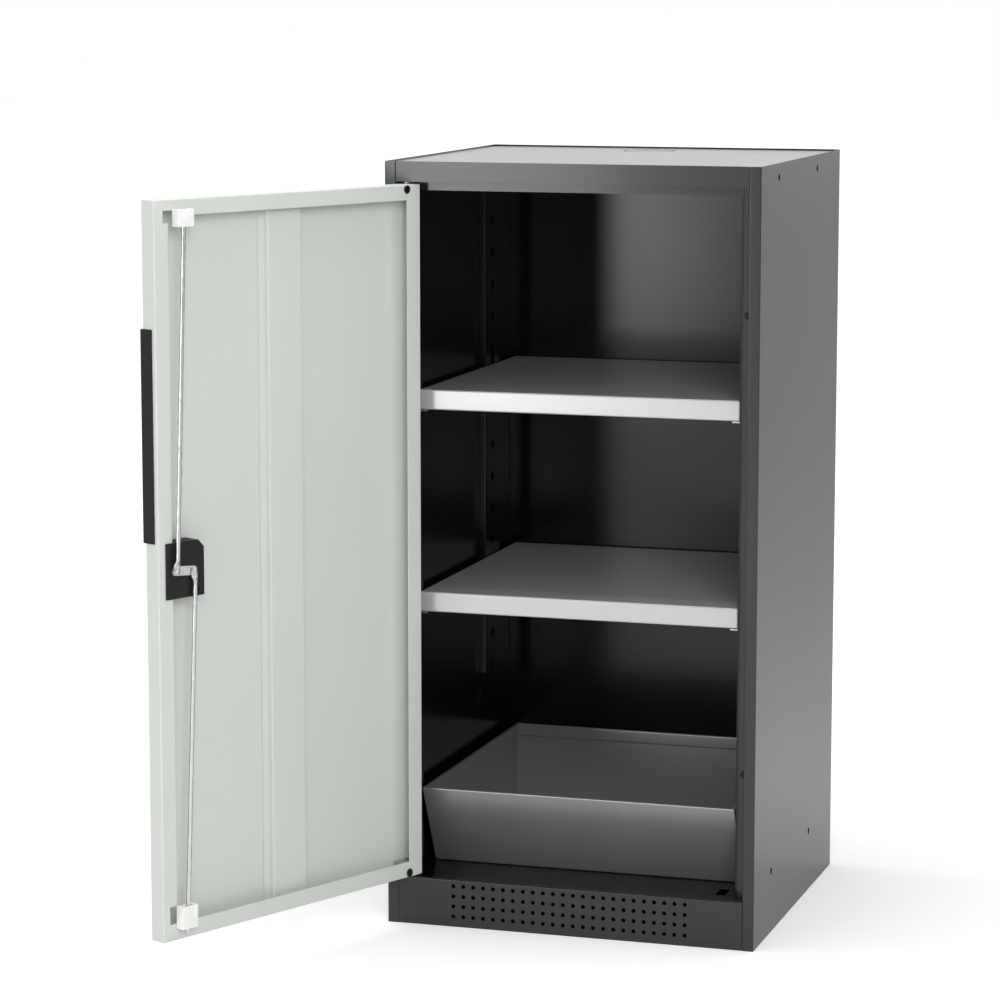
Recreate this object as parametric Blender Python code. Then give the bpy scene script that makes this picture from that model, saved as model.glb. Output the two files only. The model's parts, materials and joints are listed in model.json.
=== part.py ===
"""A half-height steel cabinet for chemicals, built as separate pieces in metres with +Z up.

The cabinet faces -Y. The origin lies on the floor, in the middle of the plinth's foot flange,
so the front plane is half that flange in front of it. The wing door is hung on the left seen
from the front and stands open, as it is often shown. Every piece is one closed solid.
"""
import math

import bmesh
import bpy

# Overall sizes
WIDTH = 0.545
DEPTH = 0.520
HEIGHT = 1.105
SHEET = 0.001
GAP = 0.0003
OVERRUN = 0.004
CIRCLE_SIDES = 16
SMALL_CIRCLE_SIDES = 10
HEXAGON_SIDES = 6
SHARP_DEGREES = 35.0

# Front frame: stiles folded from the side panels, header rail and plinth
STILE_WIDTH = 0.0165
STOP_FLANGE = 0.014
REAR_FOLD = 0.015
HEADER_HEIGHT = 0.029
HEADER_LEDGE = 0.020
LIP_DROP = 0.013
PLINTH_HEIGHT = 0.0695
FOOT_FLANGE = 0.025
TOP_RECESS = 0.002
CEILING_STEP = 0.001
LIP_ROOT = 0.002

# Side panel tie holes
TIE_HOLE_RADIUS = 0.005
TIE_HOLE_FROM_FRONT = 0.109
TIE_HOLE_FROM_REAR = 0.161
TIE_HOLE_LOW = 0.0905
TIE_HOLE_BELOW_TOP = 0.020

# Perforation of the plinth
VENT_COLUMNS = 24
VENT_ROWS = 4
VENT_PITCH = 0.015
VENT_RADIUS = 0.003
VENT_SIDES = 8
VENT_LOWEST = 0.0155

# Inner walls and their upright channels
INNER_WALL_INSET = 0.0255
INNER_WALL_FLANGE = 0.012
CHANNEL_DEPTH = 0.0092
FRONT_CHANNEL_WIDTH = 0.029
FRONT_CHANNEL_START = 0.032
REAR_CHANNEL_WIDTH = 0.072
REAR_CHANNEL_FROM_REAR = 0.0834
REAR_CHANNEL_BOTTOM = 0.257
FLARE_REACH = 0.038
FLARE_HEIGHT = 0.045
SLOT_LOWEST = 0.307
SLOT_PITCH = 0.049
SLOT_END_MARGIN = 0.030
SLOT_WIDTH = 0.0146
SLOT_HEIGHT = 0.011

# Exhaust connection
EXHAUST_RADIUS = 0.0375
EXHAUST_WALL = 0.001
EXHAUST_FROM_REAR = 0.090
EXHAUST_HOLE_PLAY = 0.0015
SPIGOT_SUNK = 0.003
SPIGOT_COLLAR = 0.010
CAP_SKIRT = 0.012

# Shelves and their clips
SHELF_SIDE_GAP = 0.0015
SHELF_REAR_GAP = 0.0064
SHELF_HEIGHT = 0.029
SHELF_RETURN = 0.012
SHELF_FRONT = 0.041
SHELF_LEVELS = {"shelf_upper": 0.748, "shelf_lower": 0.454}
CLIP_THICKNESS = 0.002
CLIP_WIDTH = 0.014
CLIP_REACH = 0.0125
CLIP_TAIL = 0.0015
CLIP_HOOK = 0.007

# Bottom sump
SUMP_SIDE_GAP = 0.0035
SUMP_HEIGHT = 0.1225
SUMP_SHEET = 0.0015
SUMP_FRONT_TOP = 0.041
SUMP_FRONT_BOTTOM = 0.103
SUMP_REAR_GAP = 0.0042
HEM_THICKNESS = 0.005
HEM_HEIGHT = 0.020

# Door
DOOR_THICKNESS = 0.025
DOOR_SIDE_GAP = 0.0035
DOOR_TOP_GAP = 0.003
DOOR_FLOOR_GAP = 0.0022
DOOR_STOP_GAP = 0.0035
DOOR_OPEN_DEGREES = 115.0
FREE_RETURN = 0.025
HINGE_RETURN = 0.027
TOP_RETURN = 0.022
BOTTOM_RETURN = 0.023
NOTCH_INSETS = {"upper": 0.016, "lower": 0.012}
NOTCH_BELOW_TOP = (0.0145, 0.031)
NOTCH_ABOVE_BOTTOM = 0.048
HAT_WIDTH = 0.063
HAT_DEPTH = 0.008
HAT_FLANGE = 0.012
HAT_END_GAP = 0.004
BUFFER_RADIUS = 0.005
BUFFER_FROM_END = 0.175

# Door hinges
PIVOT_INSET = 0.010
PIVOT_DEPTH = 0.008
PIN_RADIUS = 0.004
PIN_DEPTH = 0.018
PIN_TAIL = 0.009
PIN_HEAD_RADIUS = 0.007
PIN_HEAD_HEIGHT = 0.003
HINGE_BLOCK_LENGTH = 0.036
HINGE_BLOCK_HEIGHT = 0.020
HINGE_SCREW_INSET = 0.0275
HINGE_SCREW_FROM_END = 0.0068
HINGE_SCREW_RADIUS = 0.006
HINGE_SCREW_HEAD = 0.0018
SCREW_SHANK_RADIUS = 0.002
SCREW_SHANK_LENGTH = 0.006

# Grip strip on the free edge
GRIP_ABOVE_SPINDLE = 0.039
GRIP_LENGTH = 0.286
GRIP_SIDE_WIDTH = 0.019
GRIP_SIDE_THICKNESS = 0.0015
GRIP_FRONT_WIDTH = 0.024
GRIP_FRONT_THICKNESS = 0.0027

# Lock: case, turn knob with key cylinder, cam, rods and guides
SPINDLE_INSET = 0.0425
SPINDLE_HEIGHT = 0.578
SPINDLE_RADIUS = 0.005
CASE_NEAR = 0.027
CASE_FAR = 0.080
CASE_BELOW_SPINDLE = 0.037
CASE_ABOVE_SPINDLE = 0.039
CASE_CHAMFER = 0.010
CASE_PROUD = 0.0025
CASE_RIM_NEAR = 0.0115
CASE_SCREW_INSET = 0.008
CASE_SCREW_RADIUS = 0.0035
ROSETTE_RADIUS = 0.022
ROSETTE_HEIGHT = 0.004
KNOB_RADIUS = 0.017
KNOB_HEIGHT = 0.016
KNOB_BAR_WIDTH = 0.015
KNOB_BAR_LENGTH = 0.033
KNOB_BAR_HEIGHT = 0.010
CYLINDER_RADIUS = 0.0055
CYLINDER_DEPTH = 0.022
KEYWAY_WIDTH = 0.0012
KEYWAY_LENGTH = 0.007
KEYWAY_DEPTH = 0.003
CAM_RADIUS = 0.016
CAM_WIDTH = 0.013
CAM_THICKNESS = 0.002
CAM_LIFT = 0.0005
CAM_TILT_DEGREES = 5.0
CAM_SCREW_RADIUS = 0.005
CAM_SCREW_HEIGHT = 0.0025
ROD_RADIUS = 0.003
ROD_EYE_WIDTH = 0.011
ROD_EYE_LENGTH = 0.018
ROD_EYE_THICKNESS = 0.002
RIVET_RADIUS = 0.004
RIVET_HEIGHT = 0.0017
RIVET_SHANK_RADIUS = 0.002
ROD_TIP_BELOW_LIP = 0.0015
ROD_TIP_ABOVE_FLOOR = 0.0112
ROD_PLAY = 0.0006
ROD_SWING = 0.0034
KEEPER_WIDTH = 0.014
KEEPER_DEPTH = 0.034
CEILING_NOTCH = 0.012
GUIDE_WIDTH = 0.028
GUIDE_PROUD = 0.0135
GUIDE_INSETS = {"upper": 0.0457, "lower": 0.0367}
GUIDE_FROM_END = {"upper": 0.0245, "lower": 0.032}
GUIDE_HEIGHTS = {"upper": 0.023, "lower": 0.032}

# Places worked out from the sizes above
FRONT = -FOOT_FLANGE / 2
HALF_WIDTH = WIDTH / 2
OPENING_HALF = HALF_WIDTH - STILE_WIDTH
STOP_DEPTH = DOOR_THICKNESS + DOOR_STOP_GAP
STOP_HALF = OPENING_HALF - STOP_FLANGE
INNER_HALF = HALF_WIDTH - INNER_WALL_INSET
HEADER_BOTTOM = HEIGHT - HEADER_HEIGHT
LIP_BOTTOM = HEADER_BOTTOM - LIP_DROP
TOP_SURFACE = HEIGHT - TOP_RECESS
TOP_SEAT = TOP_SURFACE - SHEET - GAP
FLOOR_BOTTOM = PLINTH_HEIGHT + GAP
FLOOR_TOP = FLOOR_BOTTOM + SHEET
REAR_FACE = DEPTH - SHEET - 2 * GAP - SHEET
CEILING_BOTTOM = LIP_BOTTOM + CEILING_STEP
CHANNEL_FACE = INNER_HALF - GAP - CHANNEL_DEPTH
REAR_CHANNEL_START = REAR_FACE - REAR_CHANNEL_FROM_REAR - REAR_CHANNEL_WIDTH
SHELF_HALF = CHANNEL_FACE - SHELF_SIDE_GAP
SHELF_BACK = REAR_FACE - SHELF_REAR_GAP
SUMP_HALF = CHANNEL_FACE - SUMP_SIDE_GAP
DOOR_WIDTH = 2 * OPENING_HALF - 2 * DOOR_SIDE_GAP
DOOR_BOTTOM = FLOOR_TOP + DOOR_FLOOR_GAP
DOOR_TOP = HEADER_BOTTOM - DOOR_TOP_GAP
PIVOT_X = -OPENING_HALF + DOOR_SIDE_GAP + PIVOT_INSET
HINGE_EDGE = -PIVOT_INSET
FREE_EDGE = DOOR_WIDTH - PIVOT_INSET
OUTER_FACE = -PIVOT_DEPTH
INNER_FACE = DOOR_THICKNESS - PIVOT_DEPTH
SKIN_INSIDE = OUTER_FACE + SHEET
PIN_HOLE_RADIUS = PIN_RADIUS + GAP
SHANK_HOLE_RADIUS = SCREW_SHANK_RADIUS + GAP
CASE_FRONT = INNER_FACE + CASE_PROUD
CASE_BOTTOM = SPINDLE_HEIGHT - CASE_BELOW_SPINDLE
CASE_TOP = SPINDLE_HEIGHT + CASE_ABOVE_SPINDLE
GRIP_BOTTOM = SPINDLE_HEIGHT + GRIP_ABOVE_SPINDLE
CAM_BACK = CASE_FRONT + CAM_LIFT
CAM_FRONT = CAM_BACK + CAM_THICKNESS
ROD_BACK = CAM_FRONT + GAP
ROD_AXIS = ROD_BACK + ROD_RADIUS
CAM_TILT = math.radians(CAM_TILT_DEGREES)


def behind(depth):
    """World Y of a plane this far behind the cabinet's front plane."""
    return FRONT + depth


def from_free_edge(distance):
    """Place along the door, seen from the hinge axis, this far from its free edge."""
    return FREE_EDGE - distance


def from_door_end(end, distance):
    """Height this far inside the door's upper or lower end."""
    return DOOR_TOP - distance if end == "upper" else DOOR_BOTTOM + distance


def slot_seat(index):
    """Height of the tongue's upper face of a clip in slot number index."""
    return SLOT_LOWEST + index * SLOT_PITCH


def slot_numbers(bottom, top):
    """The slots that fit a channel between its two ends, less a margin at each."""
    first = math.ceil((bottom + SLOT_END_MARGIN - SLOT_LOWEST) / SLOT_PITCH)
    last = math.floor((top - SLOT_END_MARGIN - SLOT_LOWEST) / SLOT_PITCH)
    return range(first, last + 1)


def shelf_seat(name):
    """Height of the clips that carry a shelf, at the slot nearest to its level."""
    return slot_seat(round((SHELF_LEVELS[name] - SLOT_LOWEST) / SLOT_PITCH))


# Helpers that make meshes and objects

def clear_scene():
    for item in list(bpy.data.objects):
        bpy.data.objects.remove(item, do_unlink=True)


def finish(name, colour, roughness, metallic):
    """A Principled material with the piece's plain colour."""
    material = bpy.data.materials.new(name)
    material.use_nodes = True
    shader = material.node_tree.nodes["Principled BSDF"]
    shader.inputs["Base Color"].default_value = (*colour, 1.0)
    shader.inputs["Roughness"].default_value = roughness
    shader.inputs["Metallic"].default_value = metallic
    material.diffuse_color = (*colour, 1.0)
    return material


def spot(axis, across, up, along):
    """A 3-D point from a place in a plane and a distance along the axis square to it."""
    return {
        "X": (along, across, up),
        "Y": (across, along, up),
        "Z": (across, up, along),
    }[axis]


def add_prism(mesh, axis, outline, start, end):
    """Add a straight prism over a closed outline to a bmesh."""
    base = [mesh.verts.new(spot(axis, across, up, start)) for across, up in outline]
    top = [mesh.verts.new(spot(axis, across, up, end)) for across, up in outline]
    faces = [mesh.faces.new(base), mesh.faces.new(top)]
    for index in range(len(outline)):
        after = (index + 1) % len(outline)
        faces.append(mesh.faces.new((base[index], base[after], top[after], top[index])))
    bmesh.ops.recalc_face_normals(mesh, faces=faces)


def rectangle(low_across, high_across, low_up, high_up):
    return [
        (low_across, low_up), (high_across, low_up),
        (high_across, high_up), (low_across, high_up),
    ]


def circle(across, up, radius, sides):
    """A polygon with its flats square to the two directions."""
    turn = 2 * math.pi / sides
    return [
        (across + radius * math.cos((index + 0.5) * turn), up + radius * math.sin((index + 0.5) * turn))
        for index in range(sides)
    ]


def folded(path, thickness):
    """Outline of a sheet folded square along a path, with its thickness to the path's left."""
    inner = []
    for index, (across, up) in enumerate(path):
        before = path[max(index - 1, 0)]
        after = path[min(index + 1, len(path) - 1)]
        normals = []
        for start, end in ((before, (across, up)), ((across, up), after)):
            length = math.dist(start, end)
            if length > 0:
                normals.append((-(end[1] - start[1]) / length, (end[0] - start[0]) / length))
        shift_across = sum(normal[0] for normal in normals)
        shift_up = sum(normal[1] for normal in normals)
        if len(normals) == 2 and normals[0] == normals[1]:
            shift_across, shift_up = normals[0]
        elif len(normals) == 1:
            shift_across, shift_up = normals[0]
        inner.append((across + thickness * shift_across, up + thickness * shift_up))
    return list(path) + inner[::-1]


def make_object(name, mesh, material=None, parent=None, location=(0, 0, 0)):
    data = bpy.data.meshes.new(name)
    mesh.to_mesh(data)
    mesh.free()
    item = bpy.data.objects.new(name, data)
    bpy.context.scene.collection.objects.link(item)
    item.location = location
    item.parent = parent
    if material:
        data.materials.append(material)
    return item


def prism(name, axis, outline, start, end, material=None, parent=None, location=(0, 0, 0)):
    mesh = bmesh.new()
    add_prism(mesh, axis, outline, start, end)
    return make_object(name, mesh, material, parent, location)


def box(name, low, high, material=None, parent=None, location=(0, 0, 0)):
    outline = rectangle(low[0], high[0], low[1], high[1])
    return prism(name, "Z", outline, low[2], high[2], material, parent, location)


def as_tool(item):
    """Mark an object as a helper that only shapes another one."""
    item.hide_render = True
    item.display_type = "WIRE"
    return item


def cut(target, tool):
    change = target.modifiers.new("cut " + tool.name, "BOOLEAN")
    change.operation = "DIFFERENCE"
    change.solver = "EXACT"
    change.object = as_tool(tool)


def fuse(target, tool):
    change = target.modifiers.new("fuse " + tool.name, "BOOLEAN")
    change.operation = "UNION"
    change.solver = "EXACT"
    change.object = as_tool(tool)


def round_tools(name, axis, centres, radius, start, end, sides, parent=None):
    """One cutter made of equal round rods."""
    mesh = bmesh.new()
    for across, up in centres:
        add_prism(mesh, axis, circle(across, up, radius, sides), start, end)
    return make_object(name, mesh, parent=parent)


def shade_round(item):
    item.data.shade_smooth()
    item.data.set_sharp_from_angle(angle=math.radians(SHARP_DEGREES))


# The carcass

def side_panel(name, side, material):
    """Outer wall with the stile, rebate and stop flange folded at the front, and a rear fold."""
    path = [
        (side * STOP_HALF, behind(STOP_DEPTH)),
        (side * OPENING_HALF, behind(STOP_DEPTH)),
        (side * OPENING_HALF, FRONT),
        (side * HALF_WIDTH, FRONT),
        (side * HALF_WIDTH, behind(DEPTH)),
        (side * (HALF_WIDTH - REAR_FOLD), behind(DEPTH)),
    ]
    outline = folded(path, side * SHEET)
    panel = prism(name, "Z", outline, 0, HEIGHT, material)
    inside = sorted((side * (STOP_HALF - OVERRUN), side * (HALF_WIDTH - SHEET)))
    cut(panel, box(
        name + "_top_notch",
        (inside[0], behind(SHEET), TOP_SEAT),
        (inside[1], behind(REAR_FACE + SHEET + GAP), HEIGHT + OVERRUN),
    ))
    heights = (TIE_HOLE_LOW, HEIGHT - TIE_HOLE_BELOW_TOP)
    depths = (TIE_HOLE_FROM_FRONT, DEPTH - TIE_HOLE_FROM_REAR)
    centres = [(behind(depth), height) for depth in depths for height in heights]
    reach = sorted((side * (HALF_WIDTH - SHEET - OVERRUN), side * (HALF_WIDTH + OVERRUN)))
    cut(panel, round_tools(
        name + "_tie_holes", "X", centres, TIE_HOLE_RADIUS, reach[0], reach[1], SMALL_CIRCLE_SIDES,
    ))
    return panel


def header_rail(material):
    """Fascia with a ledge for the top, a return over the door and a lip that stops the door."""
    edge = OPENING_HALF - GAP
    fascia = [
        (FRONT, HEADER_BOTTOM),
        (behind(STOP_DEPTH - GAP), HEADER_BOTTOM),
        (behind(STOP_DEPTH - GAP), HEADER_BOTTOM + SHEET),
        (behind(SHEET), HEADER_BOTTOM + SHEET),
        (behind(SHEET), TOP_SEAT - SHEET),
        (behind(HEADER_LEDGE), TOP_SEAT - SHEET),
        (behind(HEADER_LEDGE), TOP_SEAT),
        (behind(SHEET), TOP_SEAT),
        (behind(SHEET), HEIGHT),
        (FRONT, HEIGHT),
    ]
    rail = prism("header_rail", "X", fascia, -edge, edge, material)
    root = STOP_DEPTH - GAP - LIP_ROOT
    lip = [
        (behind(root), HEADER_BOTTOM),
        (behind(STOP_DEPTH), HEADER_BOTTOM),
        (behind(STOP_DEPTH), LIP_BOTTOM),
        (behind(STOP_DEPTH + SHEET), LIP_BOTTOM),
        (behind(STOP_DEPTH + SHEET), HEADER_BOTTOM + SHEET),
        (behind(root), HEADER_BOTTOM + SHEET),
    ]
    lip_edge = STOP_HALF - GAP
    fuse(rail, prism("header_lip", "X", lip, -lip_edge, lip_edge))
    cut(rail, pivot_hole("header_pin_hole", HEADER_BOTTOM - OVERRUN, HEADER_BOTTOM + SHEET + OVERRUN))
    return rail


def pivot_hole(name, low, high):
    centre = [(PIVOT_X, behind(PIVOT_DEPTH))]
    return round_tools(name, "Z", centre, PIN_HOLE_RADIUS, low, high, CIRCLE_SIDES)


def plinth_panel(material):
    """Perforated front below the door, with a return above and a foot flange on the floor."""
    edge = OPENING_HALF - GAP
    path = [
        (behind(FOOT_FLANGE), 0),
        (FRONT, 0),
        (FRONT, PLINTH_HEIGHT),
        (behind(STOP_DEPTH - GAP), PLINTH_HEIGHT),
    ]
    panel = prism("plinth_panel", "X", folded(path, -SHEET), -edge, edge, material)
    half_row = (VENT_COLUMNS - 1) * VENT_PITCH / 2
    centres = [
        (column * VENT_PITCH - half_row, VENT_LOWEST + row * VENT_PITCH)
        for column in range(VENT_COLUMNS) for row in range(VENT_ROWS)
    ]
    cut(panel, round_tools(
        "plinth_vents", "Y", centres, VENT_RADIUS, FRONT - OVERRUN, behind(SHEET + OVERRUN), VENT_SIDES,
    ))
    cut(panel, pivot_hole("plinth_pin_hole", PLINTH_HEIGHT - SHEET - OVERRUN, PLINTH_HEIGHT + OVERRUN))
    return panel


def floor_panel(material):
    """Floor on the plinth's return, notched round the stop flanges, with the lower rod's keeper."""
    front_edge = OPENING_HALF - GAP
    neck = STOP_HALF - GAP
    wide = HALF_WIDTH - SHEET - GAP
    start = behind(SHEET)
    neck_start = behind(STOP_DEPTH - GAP)
    neck_end = behind(STOP_DEPTH + SHEET + GAP)
    end = behind(REAR_FACE - GAP)
    half = [
        (front_edge, start), (front_edge, neck_start), (neck, neck_start),
        (neck, neck_end), (wide, neck_end), (wide, end),
    ]
    outline = half + [(-across, up) for across, up in reversed(half)]
    panel = prism("floor_panel", "Z", outline, FLOOR_BOTTOM, FLOOR_TOP, material)
    low, high = FLOOR_BOTTOM - OVERRUN, FLOOR_TOP + OVERRUN
    cut(panel, pivot_hole("floor_pin_hole", low, high))
    centre = closed_rod_x("lower")
    cut(panel, box(
        "floor_keeper",
        (centre - KEEPER_WIDTH / 2, behind(STOP_DEPTH + GAP), low),
        (centre + KEEPER_WIDTH / 2, behind(STOP_DEPTH + GAP + KEEPER_DEPTH), high),
    ))
    return panel


def rear_panel(material):
    path = [
        (behind(REAR_FACE - FOOT_FLANGE), 0),
        (behind(REAR_FACE + SHEET), 0),
        (behind(REAR_FACE + SHEET), HEIGHT),
    ]
    edge = HALF_WIDTH - SHEET - GAP
    return prism("rear_panel", "X", folded(path, SHEET), -edge, edge, material)


def exhaust_centre():
    return [(0, behind(DEPTH - EXHAUST_FROM_REAR))]


def top_panel(material):
    edge = HALF_WIDTH - SHEET - GAP
    outline = rectangle(-edge, edge, behind(SHEET + GAP), behind(REAR_FACE - GAP))
    panel = prism("top_panel", "Z", outline, TOP_SURFACE - SHEET, TOP_SURFACE, material)
    cut(panel, round_tools(
        "top_exhaust_hole", "Z", exhaust_centre(), EXHAUST_RADIUS + EXHAUST_HOLE_PLAY,
        TOP_SURFACE - SHEET - OVERRUN, TOP_SURFACE + OVERRUN, 2 * CIRCLE_SIDES,
    ))
    return panel


def ceiling_panel(material):
    """Inner ceiling with the exhaust hole and a notch that the upper rod rises into."""
    edge = INNER_HALF - GAP
    outline = rectangle(-edge, edge, behind(STOP_DEPTH + SHEET + GAP), behind(REAR_FACE - GAP))
    top = CEILING_BOTTOM + SHEET
    panel = prism("ceiling_panel", "Z", outline, CEILING_BOTTOM, top, material)
    low, high = CEILING_BOTTOM - OVERRUN, top + OVERRUN
    inner = EXHAUST_RADIUS - EXHAUST_WALL
    cut(panel, round_tools(
        "ceiling_exhaust_hole", "Z", exhaust_centre(), inner, low, high, 2 * CIRCLE_SIDES,
    ))
    centre = closed_rod_x("upper")
    cut(panel, box(
        "ceiling_rod_notch",
        (centre - KEEPER_WIDTH / 2, behind(STOP_DEPTH), low),
        (centre + KEEPER_WIDTH / 2, behind(STOP_DEPTH + SHEET + GAP + CEILING_NOTCH), high),
    ))
    return panel


def ring(name, outer, inner, low, high, material, sides):
    """A round tube on the exhaust's centre line."""
    tube = round_tools(name, "Z", exhaust_centre(), outer, low, high, sides)
    tube.data.materials.append(material)
    cut(tube, round_tools(
        name + "_bore", "Z", exhaust_centre(), inner, low - OVERRUN, high + OVERRUN, sides,
    ))
    return tube


def exhaust_spigot(material):
    """Tube from the ceiling to the top, on a collar that lies on the ceiling."""
    low = CEILING_BOTTOM + SHEET + GAP
    inner = EXHAUST_RADIUS - EXHAUST_WALL
    sides = 2 * CIRCLE_SIDES
    spigot = ring("exhaust_spigot", EXHAUST_RADIUS, inner, low, TOP_SURFACE - SPIGOT_SUNK, material, sides)
    fuse(spigot, ring(
        "spigot_collar", EXHAUST_RADIUS + SPIGOT_COLLAR, inner + SHEET / 2, low, low + SHEET, material, sides,
    ))
    return spigot


def exhaust_cap(material):
    """Push-in cap that closes the unused exhaust connection, with a skirt inside the spigot."""
    outer = EXHAUST_RADIUS - EXHAUST_WALL - GAP
    sides = 2 * CIRCLE_SIDES
    low = TOP_SURFACE - CAP_SKIRT
    cap = round_tools("exhaust_cap", "Z", exhaust_centre(), outer, low, TOP_SURFACE, sides)
    cap.data.materials.append(material)
    cut(cap, round_tools(
        "cap_hollow", "Z", exhaust_centre(), outer - EXHAUST_WALL,
        low - OVERRUN, TOP_SURFACE - EXHAUST_WALL, sides,
    ))
    return cap


def inner_wall(name, side, material):
    """Inner side wall with outward flanges at the stop flange and at the rear panel."""
    start = behind(STOP_DEPTH + SHEET + GAP)
    end = behind(REAR_FACE - GAP)
    path = [
        (side * (INNER_HALF + INNER_WALL_FLANGE), start),
        (side * INNER_HALF, start),
        (side * INNER_HALF, end),
        (side * (INNER_HALF + INNER_WALL_FLANGE), end),
    ]
    outline = folded(path, -side * SHEET)
    return prism(name, "Z", outline, FLOOR_TOP + GAP, TOP_SEAT - GAP, material)


def upright_channel(name, side, start, width, bottom, flare, material):
    """Shallow channel on an inner wall, with slots for the shelf clips and open ends."""
    top = CEILING_BOTTOM - GAP
    begin, end = behind(start), behind(start + width)
    outer = [
        (begin, top), (begin, bottom + FLARE_HEIGHT), (begin - flare, bottom), (end, bottom), (end, top),
    ]
    hollow = [
        (begin + SHEET, top + OVERRUN), (begin + SHEET, bottom + FLARE_HEIGHT),
        (begin + SHEET - flare, bottom), (begin + SHEET - flare, bottom - OVERRUN),
        (end - SHEET, bottom - OVERRUN), (end - SHEET, top + OVERRUN),
    ]
    if flare == 0:
        outer = rectangle(begin, end, bottom, top)
        hollow = rectangle(begin + SHEET, end - SHEET, bottom - OVERRUN, top + OVERRUN)
    face = side * CHANNEL_FACE
    back = side * (INNER_HALF - GAP)
    channel = prism(name, "X", outer, *sorted((face, back)), material)
    reach = sorted((side * (CHANNEL_FACE + SHEET), side * (INNER_HALF + OVERRUN)))
    cut(channel, prism(name + "_hollow", "X", hollow, *reach))
    middle = (begin + end) / 2
    slots = bmesh.new()
    for index in slot_numbers(bottom, top):
        low = slot_seat(index) - CLIP_THICKNESS - GAP
        add_prism(
            slots, "X", rectangle(middle - SLOT_WIDTH / 2, middle + SLOT_WIDTH / 2, low, low + SLOT_HEIGHT),
            *sorted((side * (CHANNEL_FACE - SHEET), side * (CHANNEL_FACE + 2 * SHEET))),
        )
    cut(channel, make_object(name + "_slots", slots))
    return channel


# Shelves, clips and sump

def pan(name, low, high, axis_low, opening_low, opening_high, material, parent=None):
    """Box of folded sheet, open on one side, with returns round that opening.

    low and high are the outer corners, axis_low is (axis index, True when the low side is open),
    and the two opening corners give the other two directions of the mouth.
    """
    axis, open_low = axis_low
    item = box(name, low, high, material, parent)
    hollow_low = [value + SHEET for value in low]
    hollow_high = [value - SHEET for value in high]
    cut(item, box(name + "_hollow", hollow_low, hollow_high, parent=parent))
    mouth_low = list(opening_low)
    mouth_high = list(opening_high)
    mouth_low[axis] = low[axis] - OVERRUN if open_low else (low[axis] + high[axis]) / 2
    mouth_high[axis] = (low[axis] + high[axis]) / 2 if open_low else high[axis] + OVERRUN
    cut(item, box(name + "_mouth", mouth_low, mouth_high, parent=parent))
    return item


def shelf(name, material):
    """Shelf folded down all round, with narrow returns underneath."""
    bottom = shelf_seat(name) + GAP
    low = (-SHELF_HALF, behind(SHELF_FRONT), bottom)
    high = (SHELF_HALF, behind(SHELF_BACK), bottom + SHELF_HEIGHT)
    mouth_low = (low[0] + SHELF_RETURN, low[1] + SHELF_RETURN, 0)
    mouth_high = (high[0] - SHELF_RETURN, high[1] - SHELF_RETURN, 0)
    return pan(name, low, high, (2, True), mouth_low, mouth_high, material)


def shelf_clip(name, side, channel_middle, seat, material):
    """Tongue through a slot of the channel, hooked down behind its face."""
    under = seat - CLIP_THICKNESS
    inner = CHANNEL_FACE - CLIP_REACH
    hook = CHANNEL_FACE + SHEET + GAP
    tail = hook + CLIP_TAIL
    outline = [
        (side * inner, seat), (side * tail, seat), (side * tail, under - CLIP_HOOK),
        (side * hook, under - CLIP_HOOK), (side * hook, under), (side * inner, under),
    ]
    low = channel_middle - CLIP_WIDTH / 2
    return prism(name, "Y", outline, low, low + CLIP_WIDTH, material)


def bottom_sump(material):
    """Open tray with a leaning front and hems folded inward round its rim."""
    bottom = FLOOR_TOP + GAP
    top = bottom + SUMP_HEIGHT
    rear = REAR_FACE - SUMP_REAR_GAP
    lean = (SUMP_FRONT_BOTTOM - SUMP_FRONT_TOP) / SUMP_HEIGHT
    slope = math.hypot(1, lean)

    def front_at(height, wall):
        return behind(SUMP_FRONT_BOTTOM - lean * (height - bottom) + wall * slope)

    def tray(name, wall, low, high, surface=None):
        outline = [
            (front_at(low, wall), low), (behind(rear - wall), low),
            (behind(rear - wall), high), (front_at(high, wall), high),
        ]
        return prism(name, "X", outline, -SUMP_HALF + wall, SUMP_HALF - wall, surface)

    sump = tray("bottom_sump", 0, bottom, top, material)
    cut(sump, tray("sump_hollow", SUMP_SHEET, bottom + SUMP_SHEET, top - HEM_HEIGHT))
    cut(sump, tray("sump_mouth", HEM_THICKNESS, top - HEM_HEIGHT - SUMP_SHEET, top + OVERRUN))
    return sump


# The door, modelled closed round its hinge axis and turned open by its parent

def door_pivot():
    pivot = bpy.data.objects.new("door_pivot", None)
    bpy.context.scene.collection.objects.link(pivot)
    pivot.location = (PIVOT_X, behind(PIVOT_DEPTH), 0)
    pivot.rotation_euler = (0, 0, -math.radians(DOOR_OPEN_DEGREES))
    return pivot


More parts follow.
